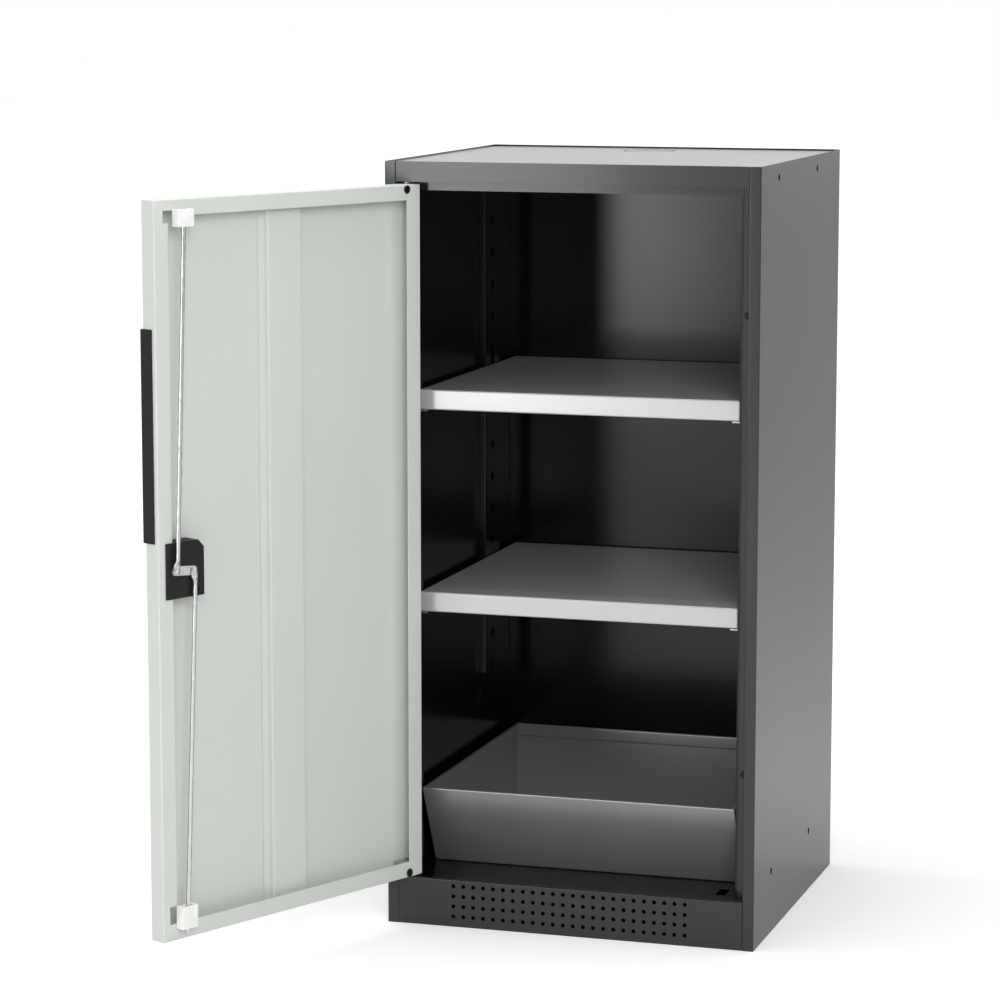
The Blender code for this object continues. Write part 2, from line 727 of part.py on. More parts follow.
def door_skin(pivot, material):
    """Door pan with returns on the inside, notched beside the guides and bored for pins and screws."""
    low = (HINGE_EDGE, OUTER_FACE, DOOR_BOTTOM)
    high = (FREE_EDGE, INNER_FACE, DOOR_TOP)
    mouth_low = (HINGE_EDGE + HINGE_RETURN, 0, DOOR_BOTTOM + BOTTOM_RETURN)
    mouth_high = (FREE_EDGE - FREE_RETURN, 0, DOOR_TOP - TOP_RETURN)
    skin = pan("door_skin", low, high, (1, False), mouth_low, mouth_high, material, pivot)
    notches = {
        "upper": (DOOR_TOP - NOTCH_BELOW_TOP[1], DOOR_TOP - NOTCH_BELOW_TOP[0]),
        "lower": (DOOR_BOTTOM + BOTTOM_RETURN, DOOR_BOTTOM + NOTCH_ABOVE_BOTTOM),
    }
    for end, (notch_low, notch_high) in notches.items():
        cut(skin, box(
            f"door_{end}_notch",
            (FREE_EDGE - FREE_RETURN - 2 * OVERRUN, INNER_FACE - SHEET - OVERRUN, notch_low),
            (FREE_EDGE - NOTCH_INSETS[end], INNER_FACE + OVERRUN, notch_high),
            parent=pivot,
        ))
    for name, end in (("lower", DOOR_BOTTOM), ("upper", DOOR_TOP)):
        cut(skin, round_tools(
            "door_pin_hole_" + name, "Z", [(0, 0)], PIN_HOLE_RADIUS,
            end - SHEET - OVERRUN, end + SHEET + OVERRUN, CIRCLE_SIDES, pivot,
        ))
    spindle = [(from_free_edge(SPINDLE_INSET), SPINDLE_HEIGHT)]
    cut(skin, round_tools(
        "door_spindle_hole", "Y", spindle, SPINDLE_RADIUS + GAP,
        OUTER_FACE - OVERRUN, SKIN_INSIDE + OVERRUN, CIRCLE_SIDES, pivot,
    ))
    screws = [hinge_screw_place(end) for end in ("lower", "upper")]
    cut(skin, round_tools(
        "door_screw_holes", "Y", screws, SHANK_HOLE_RADIUS,
        INNER_FACE - SHEET - OVERRUN, INNER_FACE + OVERRUN, SMALL_CIRCLE_SIDES, pivot,
    ))
    return skin


def door_stiffener(pivot, material):
    """Hat profile up the middle of the door, on the inside of its skin."""
    middle = (HINGE_EDGE + FREE_EDGE) / 2
    base = SKIN_INSIDE + GAP
    crest = base + HAT_DEPTH
    half = HAT_WIDTH / 2
    path = [
        (middle - half - HAT_FLANGE, base),
        (middle - half, base),
        (middle - half, crest),
        (middle + half, crest),
        (middle + half, base),
        (middle + half + HAT_FLANGE, base),
    ]
    low = DOOR_BOTTOM + SHEET + HAT_END_GAP
    high = DOOR_TOP - SHEET - HAT_END_GAP
    return prism("door_stiffener", "Z", folded(path, SHEET), low, high, material, pivot)


def grip_strip(pivot, material):
    """Grip clipped round the outer corner of the door's free edge."""
    side_in = FREE_EDGE + GAP
    side_out = side_in + GRIP_SIDE_THICKNESS
    face_in = OUTER_FACE - GAP
    face_out = face_in - GRIP_FRONT_THICKNESS
    outline = [
        (side_out, face_out),
        (side_out, OUTER_FACE + GRIP_SIDE_WIDTH),
        (side_in, OUTER_FACE + GRIP_SIDE_WIDTH),
        (side_in, face_in),
        (FREE_EDGE - GRIP_FRONT_WIDTH, face_in),
        (FREE_EDGE - GRIP_FRONT_WIDTH, face_out),
    ]
    return prism("grip_strip", "Z", outline, GRIP_BOTTOM, GRIP_BOTTOM + GRIP_LENGTH, material, pivot)


def hinge_screw_place(end):
    return HINGE_EDGE + HINGE_SCREW_INSET, from_door_end(end, HINGE_SCREW_FROM_END)


def hinge_block(end, pivot, material):
    """Bearing block in the door's corner, bored for the pin and the screw."""
    if end == "upper":
        high = DOOR_TOP - SHEET - GAP
        low = high - HINGE_BLOCK_HEIGHT
    else:
        low = DOOR_BOTTOM + SHEET + GAP
        high = low + HINGE_BLOCK_HEIGHT
    inset = SHEET + GAP
    block = box(
        end + "_hinge_block",
        (HINGE_EDGE + inset, OUTER_FACE + inset, low),
        (HINGE_EDGE + HINGE_BLOCK_LENGTH, INNER_FACE - inset, high),
        material, pivot,
    )
    cut(block, round_tools(
        end + "_block_bore", "Z", [(0, 0)], PIN_HOLE_RADIUS,
        low - OVERRUN, high + OVERRUN, CIRCLE_SIDES, pivot,
    ))
    cut(block, round_tools(
        end + "_block_screw_hole", "Y", [hinge_screw_place(end)], SHANK_HOLE_RADIUS,
        INNER_FACE - SCREW_SHANK_LENGTH - OVERRUN, INNER_FACE + OVERRUN, SMALL_CIRCLE_SIDES, pivot,
    ))
    return block


def screw(name, place, seat, radius, pivot, material):
    """Flat-headed screw square to the door, with its head on the seat and its shank inside."""
    across, height = place
    head = prism(
        name, "Y", circle(0, 0, radius, CIRCLE_SIDES), GAP, GAP + HINGE_SCREW_HEAD,
        material, pivot, (across, seat, height),
    )
    shank = prism(
        name + "_shank", "Y", circle(0, 0, SCREW_SHANK_RADIUS, SMALL_CIRCLE_SIDES),
        GAP - SCREW_SHANK_LENGTH, GAP + HINGE_SCREW_HEAD / 2, parent=pivot, location=(across, seat, height),
    )
    fuse(head, shank)
    shade_round(head)
    return head


def hinge_pin(end, material):
    """Pin fixed in the carcass, with a head above the header or a collar under the door."""
    if end == "upper":
        low, high = DOOR_TOP - PIN_DEPTH, HEADER_BOTTOM + SHEET + GAP
        head_low, head_high = high, high + PIN_HEAD_HEIGHT
    else:
        low, high = FLOOR_BOTTOM - PIN_TAIL, DOOR_BOTTOM + PIN_DEPTH
        head_low, head_high = FLOOR_TOP + GAP, DOOR_BOTTOM - GAP
    place = (PIVOT_X, behind(PIVOT_DEPTH), 0)
    pin_top = head_high if end == "upper" else high
    shaft = circle(0, 0, PIN_RADIUS, CIRCLE_SIDES)
    pin = prism(end + "_hinge_pin", "Z", shaft, low, pin_top, material, location=place)
    collar = circle(0, 0, PIN_HEAD_RADIUS, CIRCLE_SIDES)
    fuse(pin, prism(end + "_pin_collar", "Z", collar, head_low, head_high, location=place))
    shade_round(pin)
    return pin


def door_buffer(end, material):
    """Rubber buffer on the free side's stop flange."""
    height = from_door_end(end, BUFFER_FROM_END)
    across = STOP_HALF + STOP_FLANGE / 2
    outline = circle(across, height, BUFFER_RADIUS, SMALL_CIRCLE_SIDES)
    return prism(
        end + "_door_buffer", "Y", outline, behind(DOOR_THICKNESS + GAP), behind(STOP_DEPTH - GAP), material,
    )


# The lock

def case_screw_place(end):
    """A screw in the corner of the case nearest the free edge above, and the far one below."""
    if end == "upper":
        return from_free_edge(CASE_NEAR + CASE_SCREW_INSET), CASE_TOP - CASE_SCREW_INSET
    return from_free_edge(CASE_FAR - CASE_SCREW_INSET), CASE_BOTTOM + CASE_SCREW_INSET


def lock_case(pivot, material):
    """Case in the door's recess, with a rim over the free side's return."""
    near, far = from_free_edge(CASE_NEAR), from_free_edge(CASE_FAR)
    outline = [
        (near, CASE_BOTTOM), (near, CASE_TOP), (far + CASE_CHAMFER, CASE_TOP),
        (far, CASE_TOP - CASE_CHAMFER), (far, CASE_BOTTOM),
    ]
    case = prism("lock_case", "Y", outline, SKIN_INSIDE + GAP, CASE_FRONT, material, pivot)
    rim = rectangle(near - SHEET, from_free_edge(CASE_RIM_NEAR), CASE_BOTTOM, CASE_TOP)
    fuse(case, prism("lock_case_rim", "Y", rim, INNER_FACE + GAP, CASE_FRONT, parent=pivot))
    spindle = [(from_free_edge(SPINDLE_INSET), SPINDLE_HEIGHT)]
    cut(case, round_tools(
        "case_spindle_bore", "Y", spindle, SPINDLE_RADIUS + GAP,
        SKIN_INSIDE - OVERRUN, CASE_FRONT + OVERRUN, CIRCLE_SIDES, pivot,
    ))
    screws = [case_screw_place(end) for end in ("upper", "lower")]
    cut(case, round_tools(
        "case_screw_holes", "Y", screws, SHANK_HOLE_RADIUS,
        CASE_FRONT - SCREW_SHANK_LENGTH - OVERRUN, CASE_FRONT + OVERRUN, SMALL_CIRCLE_SIDES, pivot,
    ))
    return case


def knob_rosette(pivot, material):
    place = (from_free_edge(SPINDLE_INSET), OUTER_FACE - GAP, SPINDLE_HEIGHT)
    rosette = prism(
        "knob_rosette", "Y", circle(0, 0, ROSETTE_RADIUS, 2 * CIRCLE_SIDES),
        -ROSETTE_HEIGHT, 0, material, pivot, place,
    )
    bore = prism(
        "rosette_bore", "Y", circle(0, 0, SPINDLE_RADIUS + GAP, CIRCLE_SIDES),
        -ROSETTE_HEIGHT - OVERRUN, OVERRUN, parent=pivot, location=place,
    )
    cut(rosette, bore)
    shade_round(rosette)
    return rosette


def turn_knob(pivot, material):
    """Round knob with a raised bar, bored for the key cylinder, on a spindle through the door."""
    place = (from_free_edge(SPINDLE_INSET), 0, SPINDLE_HEIGHT)
    root = OUTER_FACE - 2 * GAP - ROSETTE_HEIGHT
    face = root - KNOB_HEIGHT
    crest = face - KNOB_BAR_HEIGHT
    knob = prism(
        "turn_knob", "Y", circle(0, 0, KNOB_RADIUS, 2 * CIRCLE_SIDES), face, root, material, pivot, place,
    )
    bar = rectangle(-KNOB_BAR_WIDTH / 2, KNOB_BAR_WIDTH / 2, -KNOB_BAR_LENGTH / 2, KNOB_BAR_LENGTH / 2)
    fuse(knob, prism("knob_bar", "Y", bar, crest, face + SHEET, parent=pivot, location=place))
    fuse(knob, prism(
        "knob_spindle", "Y", circle(0, 0, SPINDLE_RADIUS, CIRCLE_SIDES),
        root - SHEET, CASE_FRONT, parent=pivot, location=place,
    ))
    cut(knob, prism(
        "knob_bore", "Y", circle(0, 0, CYLINDER_RADIUS + GAP, CIRCLE_SIDES),
        crest - OVERRUN, crest + CYLINDER_DEPTH + GAP, parent=pivot, location=place,
    ))
    return knob


def lock_cylinder(pivot, material):
    place = (from_free_edge(SPINDLE_INSET), 0, SPINDLE_HEIGHT)
    crest = OUTER_FACE - 2 * GAP - ROSETTE_HEIGHT - KNOB_HEIGHT - KNOB_BAR_HEIGHT
    barrel = prism(
        "lock_cylinder", "Y", circle(0, 0, CYLINDER_RADIUS, CIRCLE_SIDES),
        crest, crest + CYLINDER_DEPTH, material, pivot, place,
    )
    keyway = rectangle(-KEYWAY_WIDTH / 2, KEYWAY_WIDTH / 2, -KEYWAY_LENGTH / 2, KEYWAY_LENGTH / 2)
    cut(barrel, prism(
        "keyway", "Y", keyway, crest - OVERRUN, crest + KEYWAY_DEPTH, parent=pivot, location=place,
    ))
    shade_round(barrel)
    return barrel


def lock_cam(pivot, material):
    """Two-armed cam on the spindle's end, with a hexagon screw and a rivet for each rod."""
    place = (from_free_edge(SPINDLE_INSET), 0, SPINDLE_HEIGHT)
    half_turn = CIRCLE_SIDES // 2
    turn = math.pi / half_turn
    outline = []
    for arm in (0, 1):
        for index in range(half_turn + 1):
            angle = (index - half_turn / 2) * turn + arm * math.pi
            outline.append((
                (CAM_RADIUS if arm == 0 else -CAM_RADIUS) + CAM_WIDTH / 2 * math.cos(angle),
                CAM_WIDTH / 2 * math.sin(angle),
            ))
    cosine, sine = math.cos(CAM_TILT), math.sin(CAM_TILT)
    outline = [(cosine * across - sine * up, sine * across + cosine * up) for across, up in outline]
    cam = prism("lock_cam", "Y", outline, CAM_BACK, CAM_FRONT, material, pivot, place)
    fuse(cam, prism(
        "cam_screw", "Y", circle(0, 0, CAM_SCREW_RADIUS, HEXAGON_SIDES), CAM_BACK + CAM_THICKNESS / 2,
        CAM_FRONT + CAM_SCREW_HEIGHT, parent=pivot, location=place,
    ))
    head_back = ROD_BACK + ROD_EYE_THICKNESS + GAP
    for end in ("upper", "lower"):
        pin, _ = rod_line(end)
        seat = (pin[0], 0, pin[1])
        fuse(cam, prism(
            end + "_rivet_shank", "Y", circle(0, 0, RIVET_SHANK_RADIUS, SMALL_CIRCLE_SIDES),
            CAM_BACK + CAM_THICKNESS / 2, head_back + RIVET_HEIGHT / 2, parent=pivot, location=seat,
        ))
        fuse(cam, prism(
            end + "_rivet_head", "Y", circle(0, 0, RIVET_RADIUS, SMALL_CIRCLE_SIDES),
            head_back, head_back + RIVET_HEIGHT, parent=pivot, location=seat,
        ))
    return cam


def guide_place(end):
    return from_free_edge(GUIDE_INSETS[end]), from_door_end(end, GUIDE_FROM_END[end])


def rod_line(end):
    """Pin centre of a rod and its unit direction toward the guide, in the door's own plane."""
    way = 1 if end == "upper" else -1
    pin = (
        from_free_edge(SPINDLE_INSET) + way * CAM_RADIUS * math.cos(CAM_TILT),
        SPINDLE_HEIGHT + way * CAM_RADIUS * math.sin(CAM_TILT),
    )
    guide = guide_place(end)
    length = math.dist(pin, guide)
    return pin, ((guide[0] - pin[0]) / length, (guide[1] - pin[1]) / length)


def rod_tip_height(end):
    return LIP_BOTTOM - ROD_TIP_BELOW_LIP if end == "upper" else FLOOR_TOP + ROD_TIP_ABOVE_FLOOR


def closed_rod_x(end):
    """World X of a rod's tip when the door is shut."""
    pin, way = rod_line(end)
    reach = (rod_tip_height(end) - pin[1]) / way[1]
    return PIVOT_X + pin[0] + reach * way[0]


def lock_rod(end, pivot, material):
    """Round rod with a flattened end that turns on the cam's rivet."""
    pin, way = rod_line(end)
    length = (rod_tip_height(end) - pin[1]) / way[1]
    lean = math.atan2(way[0], way[1])
    place = (pin[0], 0, pin[1])
    start = ROD_EYE_LENGTH / 2
    shape = circle(0, ROD_AXIS, ROD_RADIUS, SMALL_CIRCLE_SIDES)
    rod = prism(end + "_rod", "Z", shape, start, length, material, pivot, place)
    eye = rectangle(-ROD_EYE_WIDTH / 2, ROD_EYE_WIDTH / 2, ROD_BACK, ROD_BACK + ROD_EYE_THICKNESS)
    flat = prism(
        end + "_rod_eye", "Z", eye, -ROD_EYE_WIDTH / 2, ROD_EYE_LENGTH - ROD_EYE_WIDTH / 2 + start / 2,
        parent=pivot, location=place,
    )
    hole = prism(
        end + "_rod_hole", "Y", circle(0, 0, RIVET_SHANK_RADIUS + GAP, SMALL_CIRCLE_SIDES),
        ROD_BACK - OVERRUN, ROD_BACK + OVERRUN, parent=pivot, location=place,
    )
    for item in (rod, flat, hole):
        item.rotation_euler = (0, lean, 0)
    fuse(rod, flat)
    cut(rod, hole)
    shade_round(rod)
    return rod


def rod_guide(end, pivot, material):
    """Block on the door's return, with a slot that the rod runs and swings through."""
    centre, height = guide_place(end)
    wide, tall = GUIDE_WIDTH, GUIDE_HEIGHTS[end]
    outline = rectangle(centre - wide / 2, centre + wide / 2, height - tall / 2, height + tall / 2)
    guide = prism(
        end + "_rod_guide", "Y", outline, INNER_FACE + GAP, INNER_FACE + GUIDE_PROUD, material, pivot,
    )
    pin, way = rod_line(end)
    reach = ROD_RADIUS + ROD_PLAY
    slot = rectangle(-reach - ROD_SWING, reach + ROD_SWING, ROD_AXIS - reach, ROD_AXIS + reach)
    bore = prism(
        end + "_guide_slot", "Z", slot, -tall, tall, parent=pivot, location=(centre, 0, height),
    )
    bore.rotation_euler = (0, math.atan2(way[0], way[1]), 0)
    cut(guide, bore)
    return guide


def build():
    clear_scene()
    frame_paint = finish("anthracite_paint", (0.055, 0.056, 0.062), 0.42, 0.0)
    inside_paint = finish("inner_anthracite_paint", (0.020, 0.020, 0.022), 0.22, 0.0)
    light_paint = finish("light_grey_paint", (0.62, 0.65, 0.61), 0.45, 0.0)
    shelf_paint = finish("shelf_grey_paint", (0.66, 0.66, 0.68), 0.40, 0.0)
    galvanised = finish("galvanised_steel", (0.33, 0.33, 0.34), 0.32, 1.0)
    zinc = finish("zinc_plated_steel", (0.72, 0.72, 0.74), 0.25, 1.0)
    black_plastic = finish("black_plastic", (0.012, 0.012, 0.012), 0.40, 0.0)
    white_plastic = finish("white_plastic", (0.85, 0.86, 0.84), 0.45, 0.0)
    zinc_casting = finish("zinc_casting", (0.60, 0.60, 0.60), 0.40, 0.6)
    dark_screw = finish("blackened_steel", (0.05, 0.05, 0.05), 0.40, 0.8)
    rubber = finish("black_rubber", (0.02, 0.02, 0.02), 0.80, 0.0)

    for side_name, side in (("left", -1), ("right", 1)):
        side_panel(side_name + "_side_panel", side, frame_paint)
        inner_wall(side_name + "_inner_wall", side, inside_paint)
        upright_channel(
            side_name + "_front_channel", side, FRONT_CHANNEL_START, FRONT_CHANNEL_WIDTH,
            FLOOR_TOP + GAP, 0, inside_paint,
        )
        upright_channel(
            side_name + "_rear_channel", side, REAR_CHANNEL_START, REAR_CHANNEL_WIDTH,
            REAR_CHANNEL_BOTTOM, FLARE_REACH, inside_paint,
        )
        middles = {
            "front": behind(FRONT_CHANNEL_START + FRONT_CHANNEL_WIDTH / 2),
            "rear": behind(REAR_CHANNEL_START + REAR_CHANNEL_WIDTH / 2),
        }
        for shelf_name in SHELF_LEVELS:
            level = shelf_name.split("_")[1]
            seat = shelf_seat(shelf_name)
            for place, middle in middles.items():
                shelf_clip(f"{level}_clip_{place}_{side_name}", side, middle, seat, zinc)
    header_rail(frame_paint)
    plinth_panel(frame_paint)
    floor_panel(inside_paint)
    rear_panel(inside_paint)
    top_panel(frame_paint)
    ceiling_panel(inside_paint)
    exhaust_spigot(inside_paint)
    exhaust_cap(frame_paint)
    for shelf_name in SHELF_LEVELS:
        shelf(shelf_name, shelf_paint)
    bottom_sump(galvanised)

    pivot = door_pivot()
    door_skin(pivot, light_paint)
    door_stiffener(pivot, light_paint)
    grip_strip(pivot, black_plastic)
    lock_case(pivot, black_plastic)
    knob_rosette(pivot, black_plastic)
    turn_knob(pivot, black_plastic)
    lock_cylinder(pivot, zinc)
    lock_cam(pivot, zinc)
    for end in ("upper", "lower"):
        hinge_block(end, pivot, zinc_casting)
        hinge_pin(end, zinc)
        screw(end + "_hinge_screw", hinge_screw_place(end), INNER_FACE, HINGE_SCREW_RADIUS, pivot, dark_screw)
        screw(end + "_case_screw", case_screw_place(end), CASE_FRONT, CASE_SCREW_RADIUS, pivot, dark_screw)
        lock_rod(end, pivot, zinc)
        rod_guide(end, pivot, white_plastic)
        door_buffer(end, rubber)


build()
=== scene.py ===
"""Looks of the half-height chemical cabinet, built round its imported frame, in metres with +Z up.

Folded sheets are the frame's own sheets with rounded folds. Turned, flattened and perforated
parts are surfaces worked out as arrays of points.
"""
import json
import math

import bmesh
import bpy
import numpy as np
from mathutils import Euler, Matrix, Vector

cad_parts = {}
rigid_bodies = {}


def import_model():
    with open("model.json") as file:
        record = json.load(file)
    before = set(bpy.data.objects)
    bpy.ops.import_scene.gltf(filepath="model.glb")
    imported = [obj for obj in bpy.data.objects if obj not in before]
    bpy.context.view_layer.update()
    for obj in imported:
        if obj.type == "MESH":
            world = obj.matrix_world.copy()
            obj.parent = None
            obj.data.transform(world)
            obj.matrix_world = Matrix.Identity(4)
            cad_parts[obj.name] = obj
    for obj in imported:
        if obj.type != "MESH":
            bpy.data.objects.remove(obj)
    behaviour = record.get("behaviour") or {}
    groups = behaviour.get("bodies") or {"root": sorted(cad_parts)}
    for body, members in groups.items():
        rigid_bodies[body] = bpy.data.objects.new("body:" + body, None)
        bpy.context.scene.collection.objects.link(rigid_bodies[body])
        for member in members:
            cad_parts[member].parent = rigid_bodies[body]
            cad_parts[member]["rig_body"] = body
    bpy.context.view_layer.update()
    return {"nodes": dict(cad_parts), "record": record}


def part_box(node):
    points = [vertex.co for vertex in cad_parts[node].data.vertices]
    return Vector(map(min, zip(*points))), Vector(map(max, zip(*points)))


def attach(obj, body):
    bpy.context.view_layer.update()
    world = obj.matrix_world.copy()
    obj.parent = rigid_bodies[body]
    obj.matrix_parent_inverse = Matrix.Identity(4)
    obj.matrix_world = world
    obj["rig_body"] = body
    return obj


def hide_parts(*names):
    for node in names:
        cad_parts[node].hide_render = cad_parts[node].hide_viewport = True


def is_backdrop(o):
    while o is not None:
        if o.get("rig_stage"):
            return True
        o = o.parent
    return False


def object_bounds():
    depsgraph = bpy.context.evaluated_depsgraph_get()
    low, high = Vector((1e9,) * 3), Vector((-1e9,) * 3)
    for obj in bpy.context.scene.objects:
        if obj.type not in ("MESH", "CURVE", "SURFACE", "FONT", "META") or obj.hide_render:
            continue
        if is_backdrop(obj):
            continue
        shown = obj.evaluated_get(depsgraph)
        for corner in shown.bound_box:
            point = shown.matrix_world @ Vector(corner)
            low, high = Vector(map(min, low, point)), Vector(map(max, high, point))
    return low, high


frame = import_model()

# Sheet and fold sizes
WELD = 1e-6
FLAT_ANGLE = math.radians(1)
FOLD_ANGLE = math.radians(20)
CUT_EDGE = 0.0002
CUT_CORNER = 0.0004
FOLD_STEPS = 3

# Punched sheets: strips across a hole's cell, points round its rim, and steps along the path
CELL_STRIPS = 6
RIM_POINTS = 24
PATH_STEPS = 40001
PATH_STEP = 0.00002

# The door's own directions: along to the free edge, inward, and up
HINGE_LINE = np.array([-0.2425, -0.0045, 0.0])
DOOR_TURN = math.radians(-115)
DOOR_ALONG = np.array([math.cos(DOOR_TURN), math.sin(DOOR_TURN), 0])
DOOR_INWARD = np.array([-math.sin(DOOR_TURN), math.cos(DOOR_TURN), 0])
UP = np.array([0.0, 0.0, 1.0])
ACROSS = np.array([1.0, 0.0, 0.0])
REARWARD = np.array([0.0, 1.0, 0.0])

# Door sizes that the hardware sits on, and the gap that keeps one piece off the next
FREE_EDGE = 0.495
OUTER_FACE = -0.008
INNER_FACE = 0.017
SPINDLE = (0.4525, 0.578)
CASE_FACE = 0.0195
CAM_BACK = 0.0200
CAM_FACE = 0.0220
ROD_BACK = 0.0223
CAM_ARM = 0.016
CAM_TILT = math.radians(5)
GUIDES = {"upper": (0.4493, 1.0485), "lower": (0.4583, 0.105)}
ROD_TIPS = {"upper": 1.0615, "lower": 0.082}
EXHAUST_CENTRE = np.array([0.0, 0.4175, 0.0])
TOP_FACE = 1.103
SEAT_GAP = 0.0003
ROSETTE_HEIGHT = 0.004
KNOB_HEIGHT = 0.026

# The light: the plain level of the world, and how far the floor near the cabinet is lifted to white
WORLD_LEVEL = 0.58
FLOOR_LIFT = 0.18
FLOOR_LIFT_FAR = 0.6
GLOSS_FRONT = 0.30

# Lamps: place, target, width, height, watts, and whether gloss shows them
LAMPS = {
    "left_box": ((-1.95, -4.4, 0.8), (0, 0, 0.8), 1.5, 1.1, 27, True),
    "front_box": ((1.9, -4.2, 2.4), (-0.1, 0, 0.5), 2.0, 2.0, 108, False),
    "top_box": ((-0.5, 0.1, 3.2), (-0.1, 0.1, 0), 1.2, 2.4, 45, True),
}

# The camera: place in metres, how far it looks down and turns left in degrees, and its lens
CAMERA_PLACE = (1.358, -4.6965, 1.361)
CAMERA_DOWN = 8.49
CAMERA_LEFT = 17.31
CAMERA_LENS = 126.04


# Meshes

def add_piece(name, shapes, material, body, nodes, smooth_angle=35):
    """One piece from several grids of points, welded, turned outward and smooth up to an angle."""
    points, faces, base = [], [], 0
    for shape_points, shape_faces in shapes:
        points.append(shape_points)
        faces += [[corner + base for corner in face] for face in np.array(shape_faces, object).tolist()]
        base += len(shape_points)
    mesh = bpy.data.meshes.new(name)
    mesh.from_pydata(np.concatenate(points).tolist(), [], faces)
    work = bmesh.new()
    work.from_mesh(mesh)
    bmesh.ops.remove_doubles(work, verts=work.verts, dist=WELD)
    bmesh.ops.dissolve_degenerate(work, edges=work.edges, dist=WELD)
    bmesh.ops.delete(work, geom=[v for v in work.verts if not v.link_faces], context="VERTS")
    bmesh.ops.recalc_face_normals(work, faces=work.faces)
    work.to_mesh(mesh)
    work.free()
    mesh.shade_smooth()
    mesh.set_sharp_from_angle(angle=math.radians(smooth_angle))
    item = bpy.data.objects.new(name, mesh)
    bpy.context.scene.collection.objects.link(item)
    mesh.materials.append(material)
    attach(item, body)
    if nodes:
        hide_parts(*nodes)
    return item


def stitched(grid):
    """Quads between the neighbours of a grid whose second direction closes on itself."""
    rows, columns = grid.shape[:2]
    index = np.arange(rows * columns).reshape(rows, columns)
    beside = np.roll(index, -1, axis=1)
    quads = np.stack([index[:-1], beside[:-1], beside[1:], index[1:]], axis=-1)
    return grid.reshape(-1, 3), quads.reshape(-1, 4)


def turned(profile, origin, along, first, second, sides=48, reach=None):
    """A profile of (radius, height) carried round an axis; reach scales each radius by the angle."""
    angle = np.linspace(0, 2 * math.pi, sides, endpoint=False)
    radius = np.array([row[0] for row in profile])[:, None] * np.ones(sides)
    height = np.array([row[1] for row in profile])[:, None, None]
    if reach is not None:
        radius = radius * reach(angle)
    circle = np.cos(angle)[:, None] * first + np.sin(angle)[:, None] * second
    return stitched(origin + radius[..., None] * circle + height * along)


def eased(corners, radius, steps=4):
    """A polyline whose inner corners follow a quadratic curve that starts and ends radius away."""
    corners = np.array(corners, float)
    share = np.linspace(0, 1, steps + 1)[:, None]
    rows = [corners[:1]]
    for before, corner, after in zip(corners[:-2], corners[1:-1], corners[2:]):
        into, out = before - corner, after - corner
        start = corner + into * min(0.45, radius / max(np.linalg.norm(into), WELD))
        end = corner + out * min(0.45, radius / max(np.linalg.norm(out), WELD))
        rows.append(start * (1 - share) ** 2 + 2 * corner * share * (1 - share) + end * share ** 2)
    rows.append(corners[-1:])
    return np.concatenate(rows)


def slab(outline, levels, origin, along, first, second):
    """A closed outline carried through (inset, height) levels and shut at its middle at both ends."""
    ahead, back = np.roll(outline, -1, 0), np.roll(outline, 1, 0)
    run = ahead - back
    run = run / np.linalg.norm(run, axis=1, keepdims=True)
    outward = np.stack([run[:, 1], -run[:, 0]], 1)
    middle = outline.mean(0)
    rows = [(np.broadcast_to(middle, outline.shape), levels[0][1])]
    rows += [(outline - inset * outward, height) for inset, height in levels]
    rows.append((np.broadcast_to(middle, outline.shape), levels[-1][1]))
    grid = np.stack([
        origin + ring[:, :1] * first + ring[:, 1:] * second + height * along for ring, height in rows
    ])
    return stitched(grid)


def on_door(along, inward, up):
    """World place of a point given in the door's own directions."""
    return HINGE_LINE + along * DOOR_ALONG + inward * DOOR_INWARD + up * UP


def tray(rows, origin, first, second, along, corner_steps=5, notched=None):
    """Rounded rectangles joined in turn and shut at both ends.

    A row is (low, high, low, high, height, corner radius). notched gives the high side of the rows
    that have notches, each notch as (low, high, reach), and how far in the last notch comes, which
    takes the corner with it. Every row carries the notches' corner points, so that all rows have
    as many.
    """
    quarter = np.linspace(0, math.pi / 2, corner_steps)
    turn = np.concatenate([quarter + k * math.pi / 2 for k in range(4)])
    right = np.repeat([1, 0, 0, 1], corner_steps)
    upper = np.repeat([1, 1, 0, 0], corner_steps)
    low1, high1, low2, high2, height, radius = (np.array(rows, float).T)[..., None]
    one = np.where(right, high1 - radius, low1 + radius) + radius * np.cos(turn)
    two = np.where(upper, high2 - radius, low2 + radius) + radius * np.sin(turn)
    if notched is not None:
        edge, notches, inner = notched
        top = notches[-1][1]
        rim = abs(high1 - edge) < 0.001
        across = np.array([[low, low, high, high] for low, high, out in notches]).ravel()
        beyond = np.array([[0, out - edge, out - edge, 0] for low, high, out in notches]).ravel()
        limit = np.where(rim, top, high2 - radius)
        spot = np.clip(across * np.ones_like(high1), low2 + radius, limit)
        one = np.concatenate([
            one[:, -corner_steps:], high1 + rim * beyond,
            np.where(rim, high1, one[:, :corner_steps]), np.full((len(rim), 2), inner),
            one[:, corner_steps:-corner_steps],
        ], 1)
        two = np.concatenate([
            two[:, -corner_steps:], spot, np.where(rim, top, two[:, :corner_steps]),
            np.where(rim, top, high2), high2, two[:, corner_steps:-corner_steps],
        ], 1)
    grid = origin + one[..., None] * first + two[..., None] * second + height[..., None] * along
    points, quads = stitched(grid)
    count = grid.shape[1]
    return points, quads.tolist() + [list(range(count)), list(range(len(points) - count, len(points)))]


def inset(rectangle, distance):
    """A rectangle (low, high, low, high) drawn in on all sides."""
    low1, high1, low2, high2 = rectangle
    return low1 + distance, high1 - distance, low2 + distance, high2 - distance


def quarter_fold(radius, steps=5):
    """Pairs (inset, rise) round a quarter circle, from lying flat to standing up."""
    angle = np.linspace(0, math.pi / 2, steps)
    return [(radius * (1 - math.sin(a)), radius * (1 - math.cos(a))) for a in angle]


